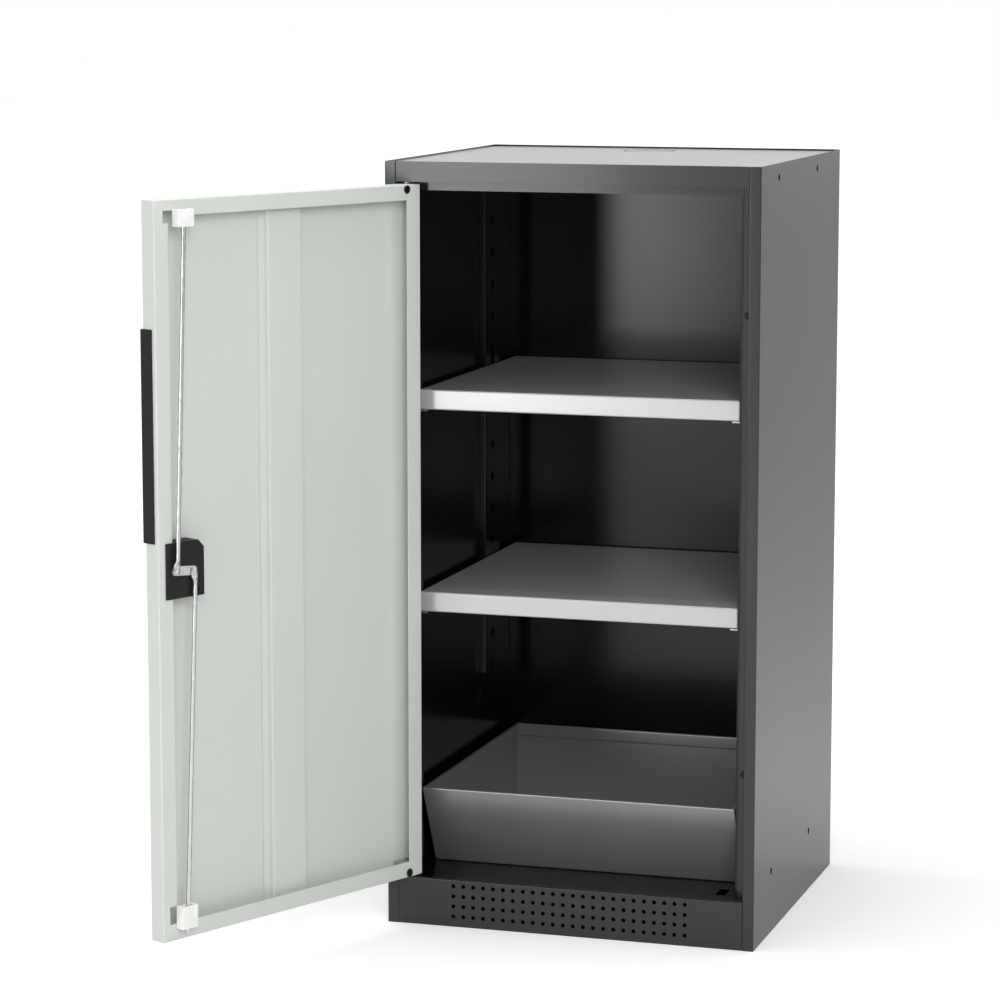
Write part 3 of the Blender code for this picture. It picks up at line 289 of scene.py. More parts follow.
def folded_pan(outside, mouth, base, lip, thickness, fold, corner):
    """Rows of a pan: base, fold, wall, fold, return to the mouth, and the same way back inside.

    base and lip are the heights of the outer faces; lip may be above or below base.
    """
    way = 1 if lip > base else -1
    eased_mouth = inset(mouth, -CUT_EDGE)
    outer_fold = quarter_fold(fold)
    rows = [(*inset(outside, d), base + way * rise, corner) for d, rise in outer_fold]
    rows += [(*inset(outside, d), lip - way * rise, corner) for d, rise in reversed(outer_fold)]
    rows += [
        (*eased_mouth, lip, CUT_CORNER),
        (*mouth, lip - way * CUT_EDGE, CUT_CORNER),
        (*mouth, lip - way * (thickness - CUT_EDGE), CUT_CORNER),
        (*eased_mouth, lip - way * thickness, CUT_CORNER),
    ]
    inner, inner_fold, tight = inset(outside, thickness), quarter_fold(fold - thickness), corner / 2
    rows += [(*inset(inner, d), lip - way * (thickness + rise), tight) for d, rise in inner_fold]
    rows += [
        (*inset(inner, d), base + way * (thickness + rise), tight) for d, rise in reversed(inner_fold)
    ]
    return rows


def oblong(angle, half1, half2, power):
    """Radius of a rounded oblong at an angle: (|cos/half1|^n + |sin/half2|^n)^(-1/n)."""
    return (abs(np.cos(angle) / half1) ** power + abs(np.sin(angle) / half2) ** power) ** (-1 / power)


def cell_lines(middle, half):
    """The lines across a hole's cell, where equal angles from its centre meet the cell's edge."""
    return middle + half * np.tan(np.linspace(-math.pi / 4, math.pi / 4, CELL_STRIPS + 1))


def punched_sheet(corners, fold, thickness, lengths, holes, cell, spot, trim=None):
    """A sheet folded along a 2-D path and drawn out lengthwise, with holes punched through it.

    The outer face is the eased path, the inner one lies a thickness to its left. Each hole
    (along path, lengthwise, half size, half size, power) has a square cell of fine strips, and a
    ring of quads joins the cell's edge to the hole's rim, which is a rounded oblong.
    """
    line = eased(corners, fold, 6)
    reach = np.concatenate([[0], np.cumsum(np.linalg.norm(np.diff(line, axis=0), axis=1))])

    def at(distance):
        return np.stack([np.interp(distance, reach, line[:, k]) for k in (0, 1)], -1)

    fine = np.linspace(0, reach[-1], PATH_STEPS)
    near = at(fine)
    centres = [
        (fine[np.argmin(np.linalg.norm(near - hole[0], axis=1))], hole[1]) for hole in holes
    ]
    run_lines = [cell_lines(middle, cell) for middle, length in centres]
    span_lines = [cell_lines(length, cell) for middle, length in centres]
    runs = np.unique(np.round(np.concatenate([reach] + run_lines), 7))
    spans = np.unique(np.round(np.concatenate([lengths] + span_lines), 7))
    run, span = np.meshgrid(runs, spans, indexing="ij")
    index = np.arange(run.size).reshape(run.shape)
    quads = np.stack([index[:-1, :-1], index[1:, :-1], index[1:, 1:], index[:-1, 1:]], -1)
    keep = np.ones(quads.shape[:2], bool)
    rim_run, rim_span, rings, walls = [], [], [], []
    total = run.size
    for (middle, length), hole in zip(centres, holes):
        i = int(np.argmin(abs(runs - (middle - cell))))
        j = int(np.argmin(abs(spans - (length - cell))))
        far_i, far_j = i + CELL_STRIPS, j + CELL_STRIPS
        keep[i:far_i, j:far_j] = False
        edge = np.concatenate([
            index[i:far_i, j], index[far_i, j:far_j], index[far_i:i:-1, far_j], index[i, far_j:j:-1],
        ])
        angle = np.arctan2(span.ravel()[edge] - length, run.ravel()[edge] - middle)
        radius = oblong(angle, *hole[2:])
        rim_run.append(middle + radius * np.cos(angle))
        rim_span.append(length + radius * np.sin(angle))
        rim = total + np.arange(RIM_POINTS)
        total += RIM_POINTS
        rings.append(np.stack([edge, np.roll(edge, -1), np.roll(rim, -1), rim], -1))
        walls.append(rim)
    distance = np.concatenate([run.ravel()] + rim_run)
    length = np.concatenate([span.ravel()] + rim_span)
    way = at(np.minimum(distance + PATH_STEP, reach[-1])) - at(np.maximum(distance - PATH_STEP, 0))
    way = way / np.linalg.norm(way, axis=1, keepdims=True)
    left = np.stack([-way[:, 1], way[:, 0]], -1)
    outer = at(distance)
    faces = [quads[keep]] + rings
    points = []
    for sheet in (outer, outer + thickness * left):
        cut = length if trim is None else trim(sheet, length)
        points.append(spot(sheet[:, 0], sheet[:, 1], cut))
    front = np.concatenate(faces)
    border = [index[0], index[-1], index[:, 0], index[:, -1]]
    sides = [np.stack([b[:-1], b[1:], b[1:] + total, b[:-1] + total], -1) for b in border]
    sides += [np.stack([w, np.roll(w, -1), np.roll(w, -1) + total, w + total], -1) for w in walls]
    return np.concatenate(points), np.concatenate([front, front + total] + sides)


# Node materials

def paint_base(name, **sockets):
    """A principled material with constant values set on the shader's own sockets."""
    material = bpy.data.materials.new(name)
    material.use_nodes = True
    shader = material.node_tree.nodes["Principled BSDF"]
    for socket, value in sockets.items():
        shader.inputs[socket.replace("_", " ")].default_value = value
    return material, shader


def node(material, kind, sockets=None, **settings):
    """Add a node; a socket given as a value is linked, and any other value is set."""
    made = material.node_tree.nodes.new(kind)
    for key, value in settings.items():
        setattr(made, key, value)
    for key, value in (sockets or {}).items():
        if isinstance(value, bpy.types.NodeSocket):
            material.node_tree.links.new(value, made.inputs[key])
        else:
            made.inputs[key].default_value = value
    return made


def wire(material, output, target):
    material.node_tree.links.new(output, target)


def place(material, scale=(1, 1, 1)):
    """Object coordinates in metres, stretched by scale."""
    where = node(material, "ShaderNodeTexCoord")
    return node(material, "ShaderNodeMapping", {"Vector": where.outputs["Object"], "Scale": scale}).outputs[0]


def noise(material, vector, scale, detail=2.0, rough=0.5):
    """The grey value of a noise pattern."""
    return node(material, "ShaderNodeTexNoise", {
        "Vector": vector, "Scale": scale, "Detail": detail, "Roughness": rough,
    }).outputs["Fac"]


def spread(material, value, low, high, start=0.3, end=0.7):
    """Map a pattern's value between start and end to a range."""
    return node(material, "ShaderNodeMapRange", {
        "Value": value, "From Min": start, "From Max": end, "To Min": low, "To Max": high,
    }).outputs[0]


def shaded(material, colour, value):
    """A colour times a grey value."""
    grey = node(material, "ShaderNodeCombineColor", {"Red": value, "Green": value, "Blue": value})
    mix = node(material, "ShaderNodeMix", data_type="RGBA", blend_type="MULTIPLY")
    mix.inputs["Factor"].default_value = 1
    mix.inputs["A"].default_value = (*colour, 1)
    wire(material, grey.outputs[0], mix.inputs["B"])
    return mix.outputs["Result"]


def bumped(material, heights):
    """Stack bumps given as (pattern, depth in metres); returns the last normal."""
    normal = None
    for height, depth in heights:
        bump = node(material, "ShaderNodeBump", {"Height": height, "Distance": depth, "Strength": 1.0})
        if normal is not None:
            wire(material, normal, bump.inputs["Normal"])
        normal = bump.outputs[0]
    return normal


def powder_coat(name, colour, roughness, texture, depth, drift, coat=0.0, metallic=0.0):
    """Stoved powder: a fine orange peel, and slight drift of tone and gloss."""
    material, shader = paint_base(
        name, IOR=1.5, Coat_Weight=coat, Coat_Roughness=0.12, Metallic=metallic,
    )
    where = place(material)
    broad = noise(material, where, 3.5, 3)
    cloud = noise(material, where, 45, 3)
    peel = noise(material, where, texture, 2)
    tone = node(material, "ShaderNodeMath", {
        0: spread(material, broad, 1 - drift, 1 + drift),
        1: spread(material, cloud, 1 - drift / 3, 1 + drift / 3),
    }, operation="MULTIPLY").outputs[0]
    gloss = spread(material, broad, roughness - 0.01, roughness + 0.015)
    wire(material, shaded(material, colour, tone), shader.inputs["Base Color"])
    wire(material, gloss, shader.inputs["Roughness"])
    wire(material, bumped(material, [(peel, depth)]), shader.inputs["Normal"])
    return material


def galvanised(name, colour, roughness):
    """Hot-dip zinc: a faint rolled grain, and broad patches of slightly different grey and gloss."""
    material, shader = paint_base(name, Metallic=0.8)
    grain = noise(material, place(material, (1, 14, 14)), 8, 1)
    stain = noise(material, place(material), 6, 1)
    tone = node(material, "ShaderNodeMath", {
        0: spread(material, stain, 0.94, 1.05, 0.2, 0.8),
        1: spread(material, grain, 0.98, 1.02, 0.2, 0.8),
    }, operation="MULTIPLY").outputs[0]
    gloss = spread(material, stain, roughness - 0.02, roughness + 0.03, 0.2, 0.8)
    wire(material, shaded(material, colour, tone), shader.inputs["Base Color"])
    wire(material, gloss, shader.inputs["Roughness"])
    return material


def zinc_plate(name, colour, roughness, metallic=1.0, grain_scale=(30, 30, 1)):
    """Bright plating with a drawn grain and a little haze."""
    material, shader = paint_base(name, Metallic=metallic)
    grain = noise(material, place(material, grain_scale), 60, 3, 0.6)
    haze = noise(material, place(material), 70, 3)
    wire(material, shaded(material, colour, spread(material, haze, 0.9, 1.06)), shader.inputs["Base Color"])
    wire(material, spread(material, grain, roughness - 0.05, roughness + 0.1), shader.inputs["Roughness"])
    wire(material, bumped(material, [(grain, 0.000015)]), shader.inputs["Normal"])
    return material


def moulded(name, colour, roughness, depth=0.00003):
    """Injection-moulded plastic or rubber with a spark-eroded grain."""
    material, shader = paint_base(name, Specular_IOR_Level=0.35)
    where = place(material)
    grain = noise(material, where, 1400, 2)
    flow = noise(material, where, 60, 2)
    wire(material, shaded(material, colour, spread(material, flow, 0.93, 1.05)), shader.inputs["Base Color"])
    wire(material, spread(material, flow, roughness - 0.04, roughness + 0.06), shader.inputs["Roughness"])
    wire(material, bumped(material, [(grain, depth)]), shader.inputs["Normal"])
    return material


# Each slot's finish, with its colour and roughness
FINISHES = {
    "frame_paint": powder_coat(
        "anthracite_powder", (0.020, 0.020, 0.023), 0.23,
        texture=900, depth=0.00001, drift=0.03, coat=0.3,
    ),
    "inside_paint": powder_coat(
        "lining_enamel", (0.0035, 0.0035, 0.0035), 0.18, texture=300, depth=0.000005, drift=0.06,
    ),
    "door_paint": powder_coat(
        "light_grey_powder", (0.62, 0.65, 0.61), 0.42, texture=900, depth=0.00002, drift=0.012,
    ),
    "shelf_paint": powder_coat(
        "shelf_powder", (0.56, 0.56, 0.57), 0.24,
        texture=900, depth=0.000005, drift=0.015, metallic=0.4,
    ),
    "galvanised_steel": galvanised("galvanised_sheet", (0.50, 0.50, 0.51), 0.30),
    "zinc_steel": zinc_plate("bright_zinc", (0.80, 0.80, 0.82), 0.24),
    "black_plastic": moulded("black_moulding", (0.010, 0.010, 0.010), 0.55),
    "white_plastic": moulded("white_moulding", (0.86, 0.87, 0.85), 0.42, 0.00001),
    "zinc_casting": zinc_plate("cast_zinc", (0.55, 0.55, 0.56), 0.42, 1.0, (1, 1, 1)),
    "dark_screw": zinc_plate("blackened_steel", (0.06, 0.06, 0.06), 0.35, 1.0, (1, 1, 1)),
    "black_rubber": moulded("soft_rubber", (0.02, 0.02, 0.02), 0.75),
}
SLOT_OF = {row["node"]: row["material_slot"] for row in frame["record"]["subparts"]}
BODY_OF = {name: item["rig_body"] for name, item in frame["nodes"].items()}


# Folded sheets and mouldings: the frame's own shapes with rounded folds and eased edges

def pressed(name, fold=0.0016, thickness=0.001, suffix="sheet"):
    """A copy of a node, welded and cleared of flat edges, with a bevel sized for each edge.

    Edges of the narrow cut faces get a small easing, outer folds the fold radius, and inner folds
    the radius less the thickness.
    """
    work = bmesh.new()
    work.from_mesh(frame["nodes"][name].data)
    bmesh.ops.remove_doubles(work, verts=work.verts, dist=WELD)
    bmesh.ops.dissolve_limit(work, angle_limit=FLAT_ANGLE, verts=work.verts, edges=work.edges)
    bmesh.ops.recalc_face_normals(work, faces=work.faces)
    weights = work.edges.layers.float.new("bevel_weight_edge")
    for face in work.faces:
        face.tag = 2 * face.calc_area() / face.calc_perimeter() < 1.05 * thickness
    for edge in work.edges:
        if len(edge.link_faces) != 2 or edge.calc_face_angle(0) < FOLD_ANGLE:
            continue
        if edge.link_faces[0].tag or edge.link_faces[1].tag:
            edge[weights] = CUT_EDGE / fold
        elif edge.is_convex:
            edge[weights] = 1
        else:
            edge[weights] = max(fold - thickness, CUT_EDGE) / fold
    mesh = bpy.data.meshes.new(f"{name}_{suffix}")
    work.to_mesh(mesh)
    work.free()
    mesh.shade_smooth()
    item = bpy.data.objects.new(f"{name}_{suffix}", mesh)
    bpy.context.scene.collection.objects.link(item)
    bevel = item.modifiers.new("rounded_folds", "BEVEL")
    bevel.width = fold
    bevel.segments = FOLD_STEPS
    bevel.limit_method = "WEIGHT"
    bevel.use_clamp_overlap = True
    bevel.miter_outer = "MITER_ARC"
    flat_shading(item)
    mesh.materials.append(FINISHES[SLOT_OF[name]])
    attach(item, BODY_OF[name])
    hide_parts(name)
    return item


def flat_shading(item):
    """Large faces keep their own normals, so that only the folds turn the light."""
    weighted = item.modifiers.new("flat_faces", "WEIGHTED_NORMAL")
    weighted.mode = "FACE_AREA"
    weighted.weight = 100
    weighted.keep_sharp = True


def add_sheet(name, shape):
    """A computed sheet in place of the node of that name."""
    slot = SLOT_OF[name]
    item = add_piece(f"{name}_sheet", [shape], FINISHES[slot], BODY_OF[name], [name])
    flat_shading(item)
    return item


HALF_WIDTH, FRONT, REAR, HEIGHT, TOP_SEAT = 0.2725, -0.0125, 0.5075, 1.105, 1.1017
TOP_REAR = 0.5046
TIE_HOLE = 0.005
TIE_HOLES = [(y, z) for y in (0.0965, 0.3465) for z in (0.0905, 1.085)]
for name, side in (("left", -1), ("right", 1)):
    path = [
        (side * 0.242, 0.016), (side * 0.256, 0.016), (side * 0.256, FRONT),
        (side * HALF_WIDTH, FRONT), (side * HALF_WIDTH, REAR), (side * (HALF_WIDTH - 0.015), REAR),
    ]

    def below_top(sheet, length):
        """All but the wall, the stile's face and the rear fold stop under the top panel."""
        inside = abs(sheet[:, 0]) < HALF_WIDTH - 0.0012
        under = (sheet[:, 1] > FRONT + 0.0012) & (sheet[:, 1] < TOP_REAR)
        return np.where(inside & under, np.minimum(length, TOP_SEAT), length)

    add_sheet(f"{name}_side_panel", punched_sheet(
        path, 0.0015, side * 0.001, [0, 0.3, 0.7, TOP_SEAT, HEIGHT],
        [((side * HALF_WIDTH, y), z, TIE_HOLE, TIE_HOLE, 2) for y, z in TIE_HOLES], 0.012,
        lambda x, y, z: np.stack([x, y, z], -1), below_top,
    ))

VENT, VENT_PITCH = 0.003, 0.015
VENT_COLUMNS = (np.arange(24) - 11.5) * VENT_PITCH
VENT_ROWS = 0.0155 + VENT_PITCH * np.arange(4)
add_sheet("plinth_panel", punched_sheet(
    [(0.0125, 0), (FRONT, 0), (FRONT, 0.0695), (0.0157, 0.0695)], 0.0014, -0.001,
    [-0.2557, 0.2557], [((FRONT, z), x, VENT, VENT, 2) for x in VENT_COLUMNS for z in VENT_ROWS],
    0.0074, lambda y, z, x: np.stack([x, y, z], -1),
))
add_sheet("top_panel", punched_sheet(
    [(-0.0112, TOP_FACE), (TOP_REAR, TOP_FACE)], 0.001, -0.001, [-0.2712, 0.2712],
    [((EXHAUST_CENTRE[1], TOP_FACE), 0, 0.039, 0.039, 2)], 0.06,
    lambda y, z, x: np.stack([x, y, z], -1),
))

DOOR_EDGES, DOOR_MOUTH = (-0.010, FREE_EDGE, 0.073, 1.073), (0.017, 0.470, 0.096, 1.051)
DOOR_NOTCHES = [(0.096, 0.121, 0.483), (1.042, 1.0585, 0.479)]
NOTCH_INNER = 0.462
add_sheet("door_skin", tray(
    folded_pan(DOOR_EDGES, DOOR_MOUTH, OUTER_FACE, INNER_FACE, 0.001, 0.0018, 0.0012),
    HINGE_LINE, DOOR_ALONG, UP, DOOR_INWARD, 5, (DOOR_MOUTH[1], DOOR_NOTCHES, NOTCH_INNER),
))
for name in ("shelf_upper", "shelf_lower"):
    low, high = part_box(name)
    edges = (low.x, high.x, low.y, high.y)
    add_sheet(name, tray(
        folded_pan(edges, inset(edges, 0.012), high.z, low.z, 0.001, 0.0024, 0.002),
        np.zeros(3), ACROSS, REARWARD, UP,
    ))

for side in ("left", "right"):
    pressed(f"{side}_inner_wall")
    pressed(f"{side}_front_channel")
    pressed(f"{side}_rear_channel", 0.002)
    for level in ("upper", "lower"):
        for row in ("front", "rear"):
            pressed(f"{level}_clip_{row}_{side}", 0.0006, 0.0005, "clip")
for name in ("header_rail", "floor_panel", "rear_panel", "ceiling_panel"):
    pressed(name, 0.0014)
pressed("bottom_sump", 0.003, 0.0015)
pressed("door_stiffener", 0.0024)
pressed("grip_strip", 0.0008, 0.0001, "moulding")
pressed("lock_case", 0.0009, 0.0001, "moulding")
for end in ("upper", "lower"):
    pressed(f"{end}_rod_guide", 0.0009, 0.0001, "moulding")
    pressed(f"{end}_hinge_block", 0.0008, 0.0001, "casting")


# Turned parts

def hexagon(angle):
    """Radius of a hexagon with flats at distance 1."""
    third = math.pi / 3
    return 1 / np.cos((angle + third / 2) % third - third / 2)


def add_turned(name, profile, origin, along, first, second, sides=48):
    """A turned part in place of the node of that name."""
    slot = SLOT_OF[name]
    return add_piece(
        f"{name}_turned", [turned(profile, origin, along, first, second, sides)],
        FINISHES[slot], BODY_OF[name], [name],
    )


def screw_profile(head, height, shank, length):
    """Pan head with a round-bottomed socket, and the shank behind it."""
    rim = eased([
        (head * 0.42, height - 0.001), (head * 0.42, height), (head * 0.86, height),
        (head, height * 0.55), (head, 0), (shank, 0),
    ], 0.0003)
    tip = [(shank, -length + 0.0006), (shank - 0.0006, -length), (0, -length)]
    return [(0, height - 0.001), *rim, *tip]


for end, height in (("upper", 1.0662), ("lower", 0.0798)):
    add_turned(f"{end}_hinge_screw", screw_profile(0.006, 0.0018, 0.002, 0.0057),
               on_door(0.0175, INNER_FACE + SEAT_GAP, height), DOOR_INWARD, DOOR_ALONG, UP)
for end, along, height in (("upper", 0.460, 0.609), ("lower", 0.423, 0.549)):
    add_turned(f"{end}_case_screw", screw_profile(0.0035, 0.0018, 0.002, 0.0057),
               on_door(along, CASE_FACE + SEAT_GAP, height), DOOR_INWARD, DOOR_ALONG, UP)

for end in ("upper", "lower"):
    low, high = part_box(f"{end}_hinge_pin")
    shaft = 0.004
    if end == "upper":
        profile = [
            (0, low.z), (shaft - 0.0008, low.z), (shaft, low.z + 0.0008), (shaft, 1.0773),
            (0.0068, 1.0773), (0.007, 1.0776), (0.007, high.z - 0.0006), (0.0064, high.z),
            (0, high.z),
        ]
    else:
        profile = [
            (0, low.z), (shaft - 0.0008, low.z), (shaft, low.z + 0.0008), (shaft, 0.0711),
            (0.0068, 0.0711), (0.007, 0.0713), (0.007, 0.0725), (0.0067, 0.0727),
            (shaft, 0.0727), (shaft, high.z - 0.0008), (shaft - 0.0008, high.z), (0, high.z),
        ]
    add_turned(f"{end}_hinge_pin", profile, HINGE_LINE, UP, ACROSS, REARWARD)
    low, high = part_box(f"{end}_door_buffer")
    middle = (low + high) / 2
    dome = eased([
        (0, low.y), (0.0036, low.y), (0.005, low.y + 0.0014), (0.005, high.y), (0, high.y),
    ], 0.0009)
    seat = np.array([middle.x, 0, middle.z])
    add_turned(f"{end}_door_buffer", dome, seat, REARWARD, ACROSS, UP)

low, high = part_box("exhaust_cap")
outer = high.x
cap = eased([
    (0, high.z), (outer, high.z), (outer, low.z), (outer - 0.001, low.z),
    (outer - 0.001, high.z - 0.001), (0, high.z - 0.001),
], 0.0006)
add_turned("exhaust_cap", cap, EXHAUST_CENTRE, UP, ACROSS, REARWARD, 96)
low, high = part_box("exhaust_spigot")
collar, tube = high.x, 0.0375
spigot = [
    (tube - 0.001, low.z), (collar, low.z), (collar, low.z + 0.001), (tube, low.z + 0.001),
    (tube, high.z), (tube - 0.001, high.z), (tube - 0.001, low.z),
]
add_turned("exhaust_spigot", spigot, EXHAUST_CENTRE, UP, ACROSS, REARWARD, 96)


# The lock

OUTWARD = -DOOR_INWARD
SPINDLE_LINE = on_door(SPINDLE[0], 0, SPINDLE[1])

rosette_root = -OUTER_FACE + SEAT_GAP
rosette_face = rosette_root + ROSETTE_HEIGHT
rosette = eased([
    (0.0053, rosette_root), (0.0218, rosette_root), (0.022, rosette_root + 0.0012),
    (0.0205, rosette_face), (0.0053, rosette_face), (0.0053, rosette_root),
], 0.0007)
add_turned("knob_rosette", rosette, SPINDLE_LINE, OUTWARD, DOOR_ALONG, UP, 72)


def knob_grid(sides=96):
    """Rows of radii that pass by a smooth step from a round base to a rounded oblong bar."""
    angle = np.linspace(0, 2 * math.pi, sides, endpoint=False)
    root = rosette_face + SEAT_GAP
    face, crest = root + 0.016, root + KNOB_HEIGHT
    base, bore = 0.017 * np.ones(sides), 0.0058 * np.ones(sides)
    bar = oblong(angle, 0.0075, 0.0165, 5)
    rows = [(bore, root), (base - 0.0006, root), (base, root + 0.0006)]
    rows += [(base, face - 0.003), (base - 0.0004, face - 0.0012), (base - 0.0014, face - 0.0003)]
    for share in np.linspace(0, 1, 7):
        blend = share * share * (3 - 2 * share)
        rows.append(((base - 0.0022) * (1 - blend) + bar * blend, face + share * 0.0022))
    rows += [(bar, crest - 0.0018), (bar - 0.0004, crest - 0.0008), (bar - 0.0013, crest - 0.0002)]
    rows += [(bar - 0.002, crest), (bore + 0.0004, crest), (bore, crest - 0.0004), (bore, root)]
    radius = np.stack([row[0] for row in rows])
    height = np.array([row[1] for row in rows])[:, None, None]
    circle = np.cos(angle)[:, None] * DOOR_ALONG + np.sin(angle)[:, None] * UP
    return stitched(SPINDLE_LINE + radius[..., None] * circle + height * OUTWARD)


spindle_rod = turned(
    [(0, -CASE_FACE), (0.0045, -CASE_FACE), (0.005, -CASE_FACE + 0.0005), (0.005, 0.013), (0, 0.013)],
    SPINDLE_LINE, OUTWARD, DOOR_ALONG, UP,
)
add_piece("turn_knob_moulding", [knob_grid(), spindle_rod], FINISHES["black_plastic"],
          "handle", ["turn_knob"])

crest = rosette_face + SEAT_GAP + KNOB_HEIGHT
angles = np.linspace(0, 2 * math.pi, 96, endpoint=False)
middle, barrel_side = 0 * angles, 0.0055 + 0 * angles
keyway = oblong(angles, 0.0006, 0.0035, 8)
barrel_rows = [
    (middle, crest - 0.003), (keyway, crest - 0.003), (keyway, crest - 0.0002),
    (keyway + 0.0001, crest), (barrel_side - 0.0004, crest), (barrel_side, crest - 0.0004),
    (barrel_side, crest - 0.022), (middle, crest - 0.022),
]
barrel_circle = np.cos(angles)[:, None] * DOOR_ALONG + np.sin(angles)[:, None] * UP
barrel = stitched(np.stack([
    SPINDLE_LINE + radius[:, None] * barrel_circle + height * OUTWARD for radius, height in barrel_rows
]))
add_piece("lock_cylinder_turned", [barrel], FINISHES["zinc_steel"],
          "key_cylinder", ["lock_cylinder"])


def rod_line(end):
    """A rod's pin and its direction to the guide, in the door's plane."""
    way = 1 if end == "upper" else -1
    arm = way * CAM_ARM * np.array([math.cos(CAM_TILT), math.sin(CAM_TILT)])
    pin = np.array(SPINDLE) + arm
    line = np.array(GUIDES[end]) - pin
    return pin, line / np.linalg.norm(line)


def cam_plate():
    """A stadium, two half circles on the arms' ends, tilted with the cam."""
    turn = np.linspace(-math.pi / 2, math.pi / 2, 17)
    half = np.stack([CAM_ARM + 0.0065 * np.cos(turn), 0.0065 * np.sin(turn)], 1)
    outline = np.concatenate([half, -half])
    cosine, sine = math.cos(CAM_TILT), math.sin(CAM_TILT)
    outline = outline @ np.array([[cosine, sine], [-sine, cosine]])
    levels = [(0.0003, CAM_BACK), (0, CAM_BACK + 0.0003), (0, CAM_FACE - 0.0003), (0.0003, CAM_FACE)]
    return slab(outline, levels, SPINDLE_LINE, DOOR_INWARD, DOOR_ALONG, UP)


cam_shapes = [cam_plate(), turned(
    [(0, CAM_FACE - 0.0005), (0.00433, CAM_FACE - 0.0005), (0.00433, CAM_FACE + 0.002),
     (0.0039, CAM_FACE + 0.0025), (0.0022, CAM_FACE + 0.0025), (0.0018, CAM_FACE + 0.0018),
     (0, CAM_FACE + 0.0018)],
    SPINDLE_LINE, DOOR_INWARD, DOOR_ALONG, UP, 48, hexagon,
)]
for end in ("upper", "lower"):
    pin, way = rod_line(end)
    seat = ROD_BACK + 0.0023
    dome = [
        (0, CAM_BACK + 0.001), (0.002, CAM_BACK + 0.001), (0.002, seat), (0.0038, seat),
        (0.004, seat + 0.0003), (0.0036, seat + 0.0010), (0.0025, seat + 0.0015),
        (0.0012, seat + 0.0017), (0, seat + 0.0017),
    ]
    cam_shapes.append(turned(dome, on_door(pin[0], 0, pin[1]), DOOR_INWARD, DOOR_ALONG, UP))
add_piece("lock_cam_plate", cam_shapes, FINISHES["zinc_steel"], "handle", ["lock_cam"])


def rod_grid(end, sides=32):
    """A round bar flattened at its eye: half sizes and depth ease from the flat to the round section.

    Each section is a rounded oblong of power n, which falls from 6 on the flat to 2 on the bar.
    """
    pin, way = rod_line(end)
    length = (ROD_TIPS[end] - pin[1]) / way[1]
    half = 0.0055
    tip = half * np.sin(np.linspace(-math.pi / 2, 0, 9))
    run = np.concatenate([tip, np.linspace(0.002, 0.018, 13), [length - 0.0008, length - 0.0002, length]])
    ease = np.clip((run - 0.007) / 0.009, 0, 1)
    ease = ease * ease * (3 - 2 * ease)
    taper = np.ones_like(run)
    taper[-2:] = (0.85, 0.6)
    eye = half * np.sqrt(np.clip(1 - np.clip(-run / half, 0, 1) ** 2, 0, 1))
    wide = (eye * (1 - ease) + 0.003 * ease) * taper
    deep = (0.001 * (1 - ease) + 0.003 * ease) * taper
    centre = ROD_BACK + 0.001 * (1 - ease) + 0.003 * ease
    power = 6 - 4 * ease
    angle = np.linspace(0, 2 * math.pi, sides, endpoint=False)
    cosine, sine = np.cos(angle)[None, :], np.sin(angle)[None, :]
    exponent = power[:, None]
    unit = (abs(cosine) ** exponent + abs(sine) ** exponent) ** (-1 / exponent)
    ways = way[0] * DOOR_ALONG + way[1] * UP
    side = way[1] * DOOR_ALONG - way[0] * UP
    grid = (
        on_door(pin[0], 0, pin[1]) + run[:, None, None] * ways
        + (wide[:, None] * unit * cosine)[..., None] * side
        + (centre[:, None] + deep[:, None] * unit * sine)[..., None] * DOOR_INWARD
    )
    last = grid[-1:].mean(axis=1, keepdims=True) * np.ones((1, sides, 1))
    return stitched(np.concatenate([grid, last]))


for end in ("upper", "lower"):
    add_piece(f"{end}_rod_drawn", [rod_grid(end)], FINISHES["zinc_steel"],
              f"{end}_rod", [f"{end}_rod"])


# Camera, light and ground

def studio_world():
    """White for what the eye sees, dimmer in front for gloss, and a plain level for the light."""
    world = bpy.data.worlds.new("studio")
    bpy.context.scene.world = world
    world.use_nodes = True
    tree = world.node_tree
    tree.nodes.clear()

    def add(kind, **settings):
        made = tree.nodes.new(kind)
        for key, value in settings.items():
            setattr(made, key, value)
        return made

    path = add("ShaderNodeLightPath")
    way = add("ShaderNodeTexCoord")
    parts = add("ShaderNodeSeparateXYZ")
    tree.links.new(way.outputs["Generated"], parts.inputs[0])
    ramp = add("ShaderNodeMapRange", interpolation_type="SMOOTHSTEP")
    bounds = (("From Min", -0.75), ("From Max", 0.15), ("To Min", GLOSS_FRONT), ("To Max", 1.0))
    for key, value in bounds:
        ramp.inputs[key].default_value = value
    tree.links.new(parts.outputs["Y"], ramp.inputs["Value"])
    seen, mirrored, lit = (add("ShaderNodeBackground") for _ in range(3))
    for background, strength in ((seen, 1.0), (mirrored, 1.0), (lit, WORLD_LEVEL)):
        background.inputs["Color"].default_value = (1, 1, 1, 1)
        background.inputs["Strength"].default_value = strength
    tree.links.new(ramp.outputs[0], mirrored.inputs["Strength"])
    gloss = add("ShaderNodeMath", operation="MAXIMUM")
    tree.links.new(path.outputs["Is Glossy Ray"], gloss.inputs[0])
    tree.links.new(path.outputs["Is Transmission Ray"], gloss.inputs[1])
    first = add("ShaderNodeMixShader")
    tree.links.new(gloss.outputs[0], first.inputs["Fac"])
    tree.links.new(lit.outputs[0], first.inputs[1])
    tree.links.new(mirrored.outputs[0], first.inputs[2])
    second = add("ShaderNodeMixShader")
    tree.links.new(path.outputs["Is Camera Ray"], second.inputs["Fac"])
    tree.links.new(first.outputs[0], second.inputs[1])
    tree.links.new(seen.outputs[0], second.inputs[2])
    output = add("ShaderNodeOutputWorld")
    tree.links.new(second.outputs[0], output.inputs["Surface"])


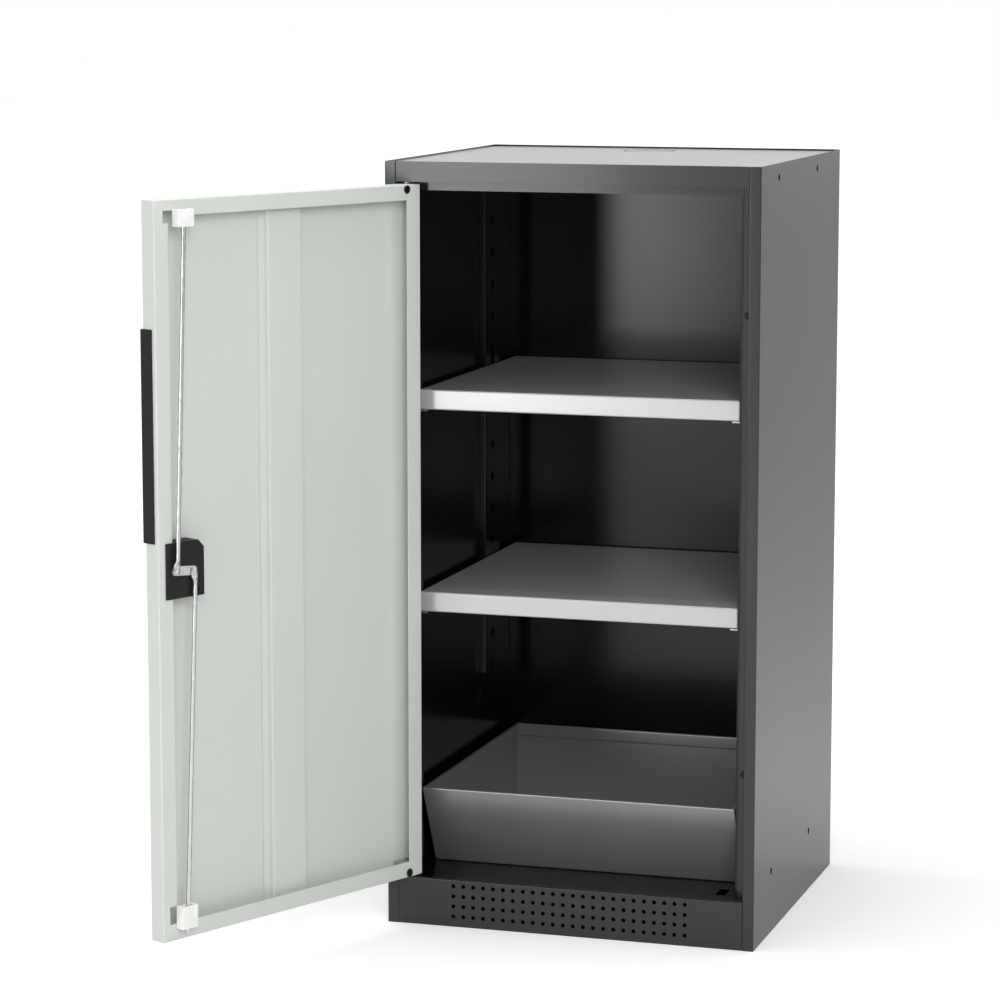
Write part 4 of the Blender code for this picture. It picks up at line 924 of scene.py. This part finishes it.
def softbox(name, location, target, width, height, power, mirrored):
    """A rectangular lamp aimed at a point; mirrored says whether gloss shows it."""
    lamp = bpy.data.lights.new(name, "AREA")
    lamp.shape = "RECTANGLE"
    lamp.size, lamp.size_y, lamp.energy = width, height, power
    item = bpy.data.objects.new(name, lamp)
    bpy.context.scene.collection.objects.link(item)
    item.location = location
    item.rotation_euler = (Vector(target) - Vector(location)).to_track_quat("-Z", "Y").to_euler()
    item.visible_glossy = mirrored


def ground():
    """A wide pale floor that keeps the shadow; the eye sees it lifted to white away from the cabinet, and
    sees a near-black patch of painted shade under the cabinet's footprint.
    """
    mesh = bpy.data.meshes.new("floor")
    reach = 30.0
    corners = [(-reach, -reach, 0), (reach, -reach, 0), (reach, reach, 0), (-reach, reach, 0)]
    mesh.from_pydata(corners, [], [(0, 1, 2, 3)])
    item = bpy.data.objects.new("floor", mesh)
    bpy.context.scene.collection.objects.link(item)
    material, shader = paint_base("pale_floor", Roughness=0.9, Specular_IOR_Level=0.0)
    shader.inputs["Base Color"].default_value = (0.80, 0.80, 0.80, 1)
    where = node(material, "ShaderNodeTexCoord").outputs["Object"]
    foot = (0.0, (FRONT + REAR) / 2, 0.0)
    middle = node(
        material, "ShaderNodeVectorMath", {0: where, 1: foot}, operation="SUBTRACT",
    ).outputs[0]
    distance = node(
        material, "ShaderNodeVectorMath", {0: middle}, operation="LENGTH",
    ).outputs["Value"]
    lift = spread(material, distance, FLOOR_LIFT, FLOOR_LIFT_FAR, 0.7, 1.8)
    parts = node(material, "ShaderNodeSeparateXYZ", {0: middle})
    # Painted shade: inside the cabinet's footprint the eye sees the floor as a near-black surface without the
    # lift. This stands in for the shade under the cabinet.
    under = None
    for axis, half in (("X", 0.268), ("Y", 0.256)):
        size = node(material, "ShaderNodeMath", {0: parts.outputs[axis]}, operation="ABSOLUTE").outputs[0]
        inside = node(
            material, "ShaderNodeMath", {0: size, 1: half}, operation="LESS_THAN",
        ).outputs[0]
        under = inside if under is None else node(
            material, "ShaderNodeMath", {0: under, 1: inside}, operation="MULTIPLY",
        ).outputs[0]
    white = node(material, "ShaderNodeBsdfDiffuse", {"Color": (1, 1, 1, 1)})
    glow = node(material, "ShaderNodeEmission", {"Color": (1, 1, 1, 1), "Strength": lift})
    both = node(material, "ShaderNodeAddShader", {0: white.outputs[0], 1: glow.outputs[0]})
    painted_shade_under = node(material, "ShaderNodeBsdfDiffuse", {"Color": (0.02, 0.02, 0.02, 1)})
    seen = node(material, "ShaderNodeMixShader", {0: under, 1: both.outputs[0], 2: painted_shade_under.outputs[0]})
    path = node(material, "ShaderNodeLightPath")
    pick = node(material, "ShaderNodeMixShader", {
        "Fac": path.outputs["Is Camera Ray"], 1: shader.outputs[0],
    })
    wire(material, seen.outputs[0], pick.inputs[2])
    wire(material, pick.outputs[0], material.node_tree.nodes["Material Output"].inputs["Surface"])
    mesh.materials.append(material)
    item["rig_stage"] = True


camera = bpy.data.cameras.new("camera")
camera.sensor_width = 36.0
camera.lens = CAMERA_LENS
camera_item = bpy.data.objects.new("camera", camera)
bpy.context.scene.collection.objects.link(camera_item)
camera_item.location = CAMERA_PLACE
camera_item.rotation_euler = Euler((math.radians(90 - CAMERA_DOWN), 0, math.radians(CAMERA_LEFT)))
bpy.context.scene.camera = camera_item

studio_world()
ground()
for name, settings in LAMPS.items():
    softbox(name, *settings)

bpy.context.scene.view_settings.view_transform = "Standard"

low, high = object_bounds()
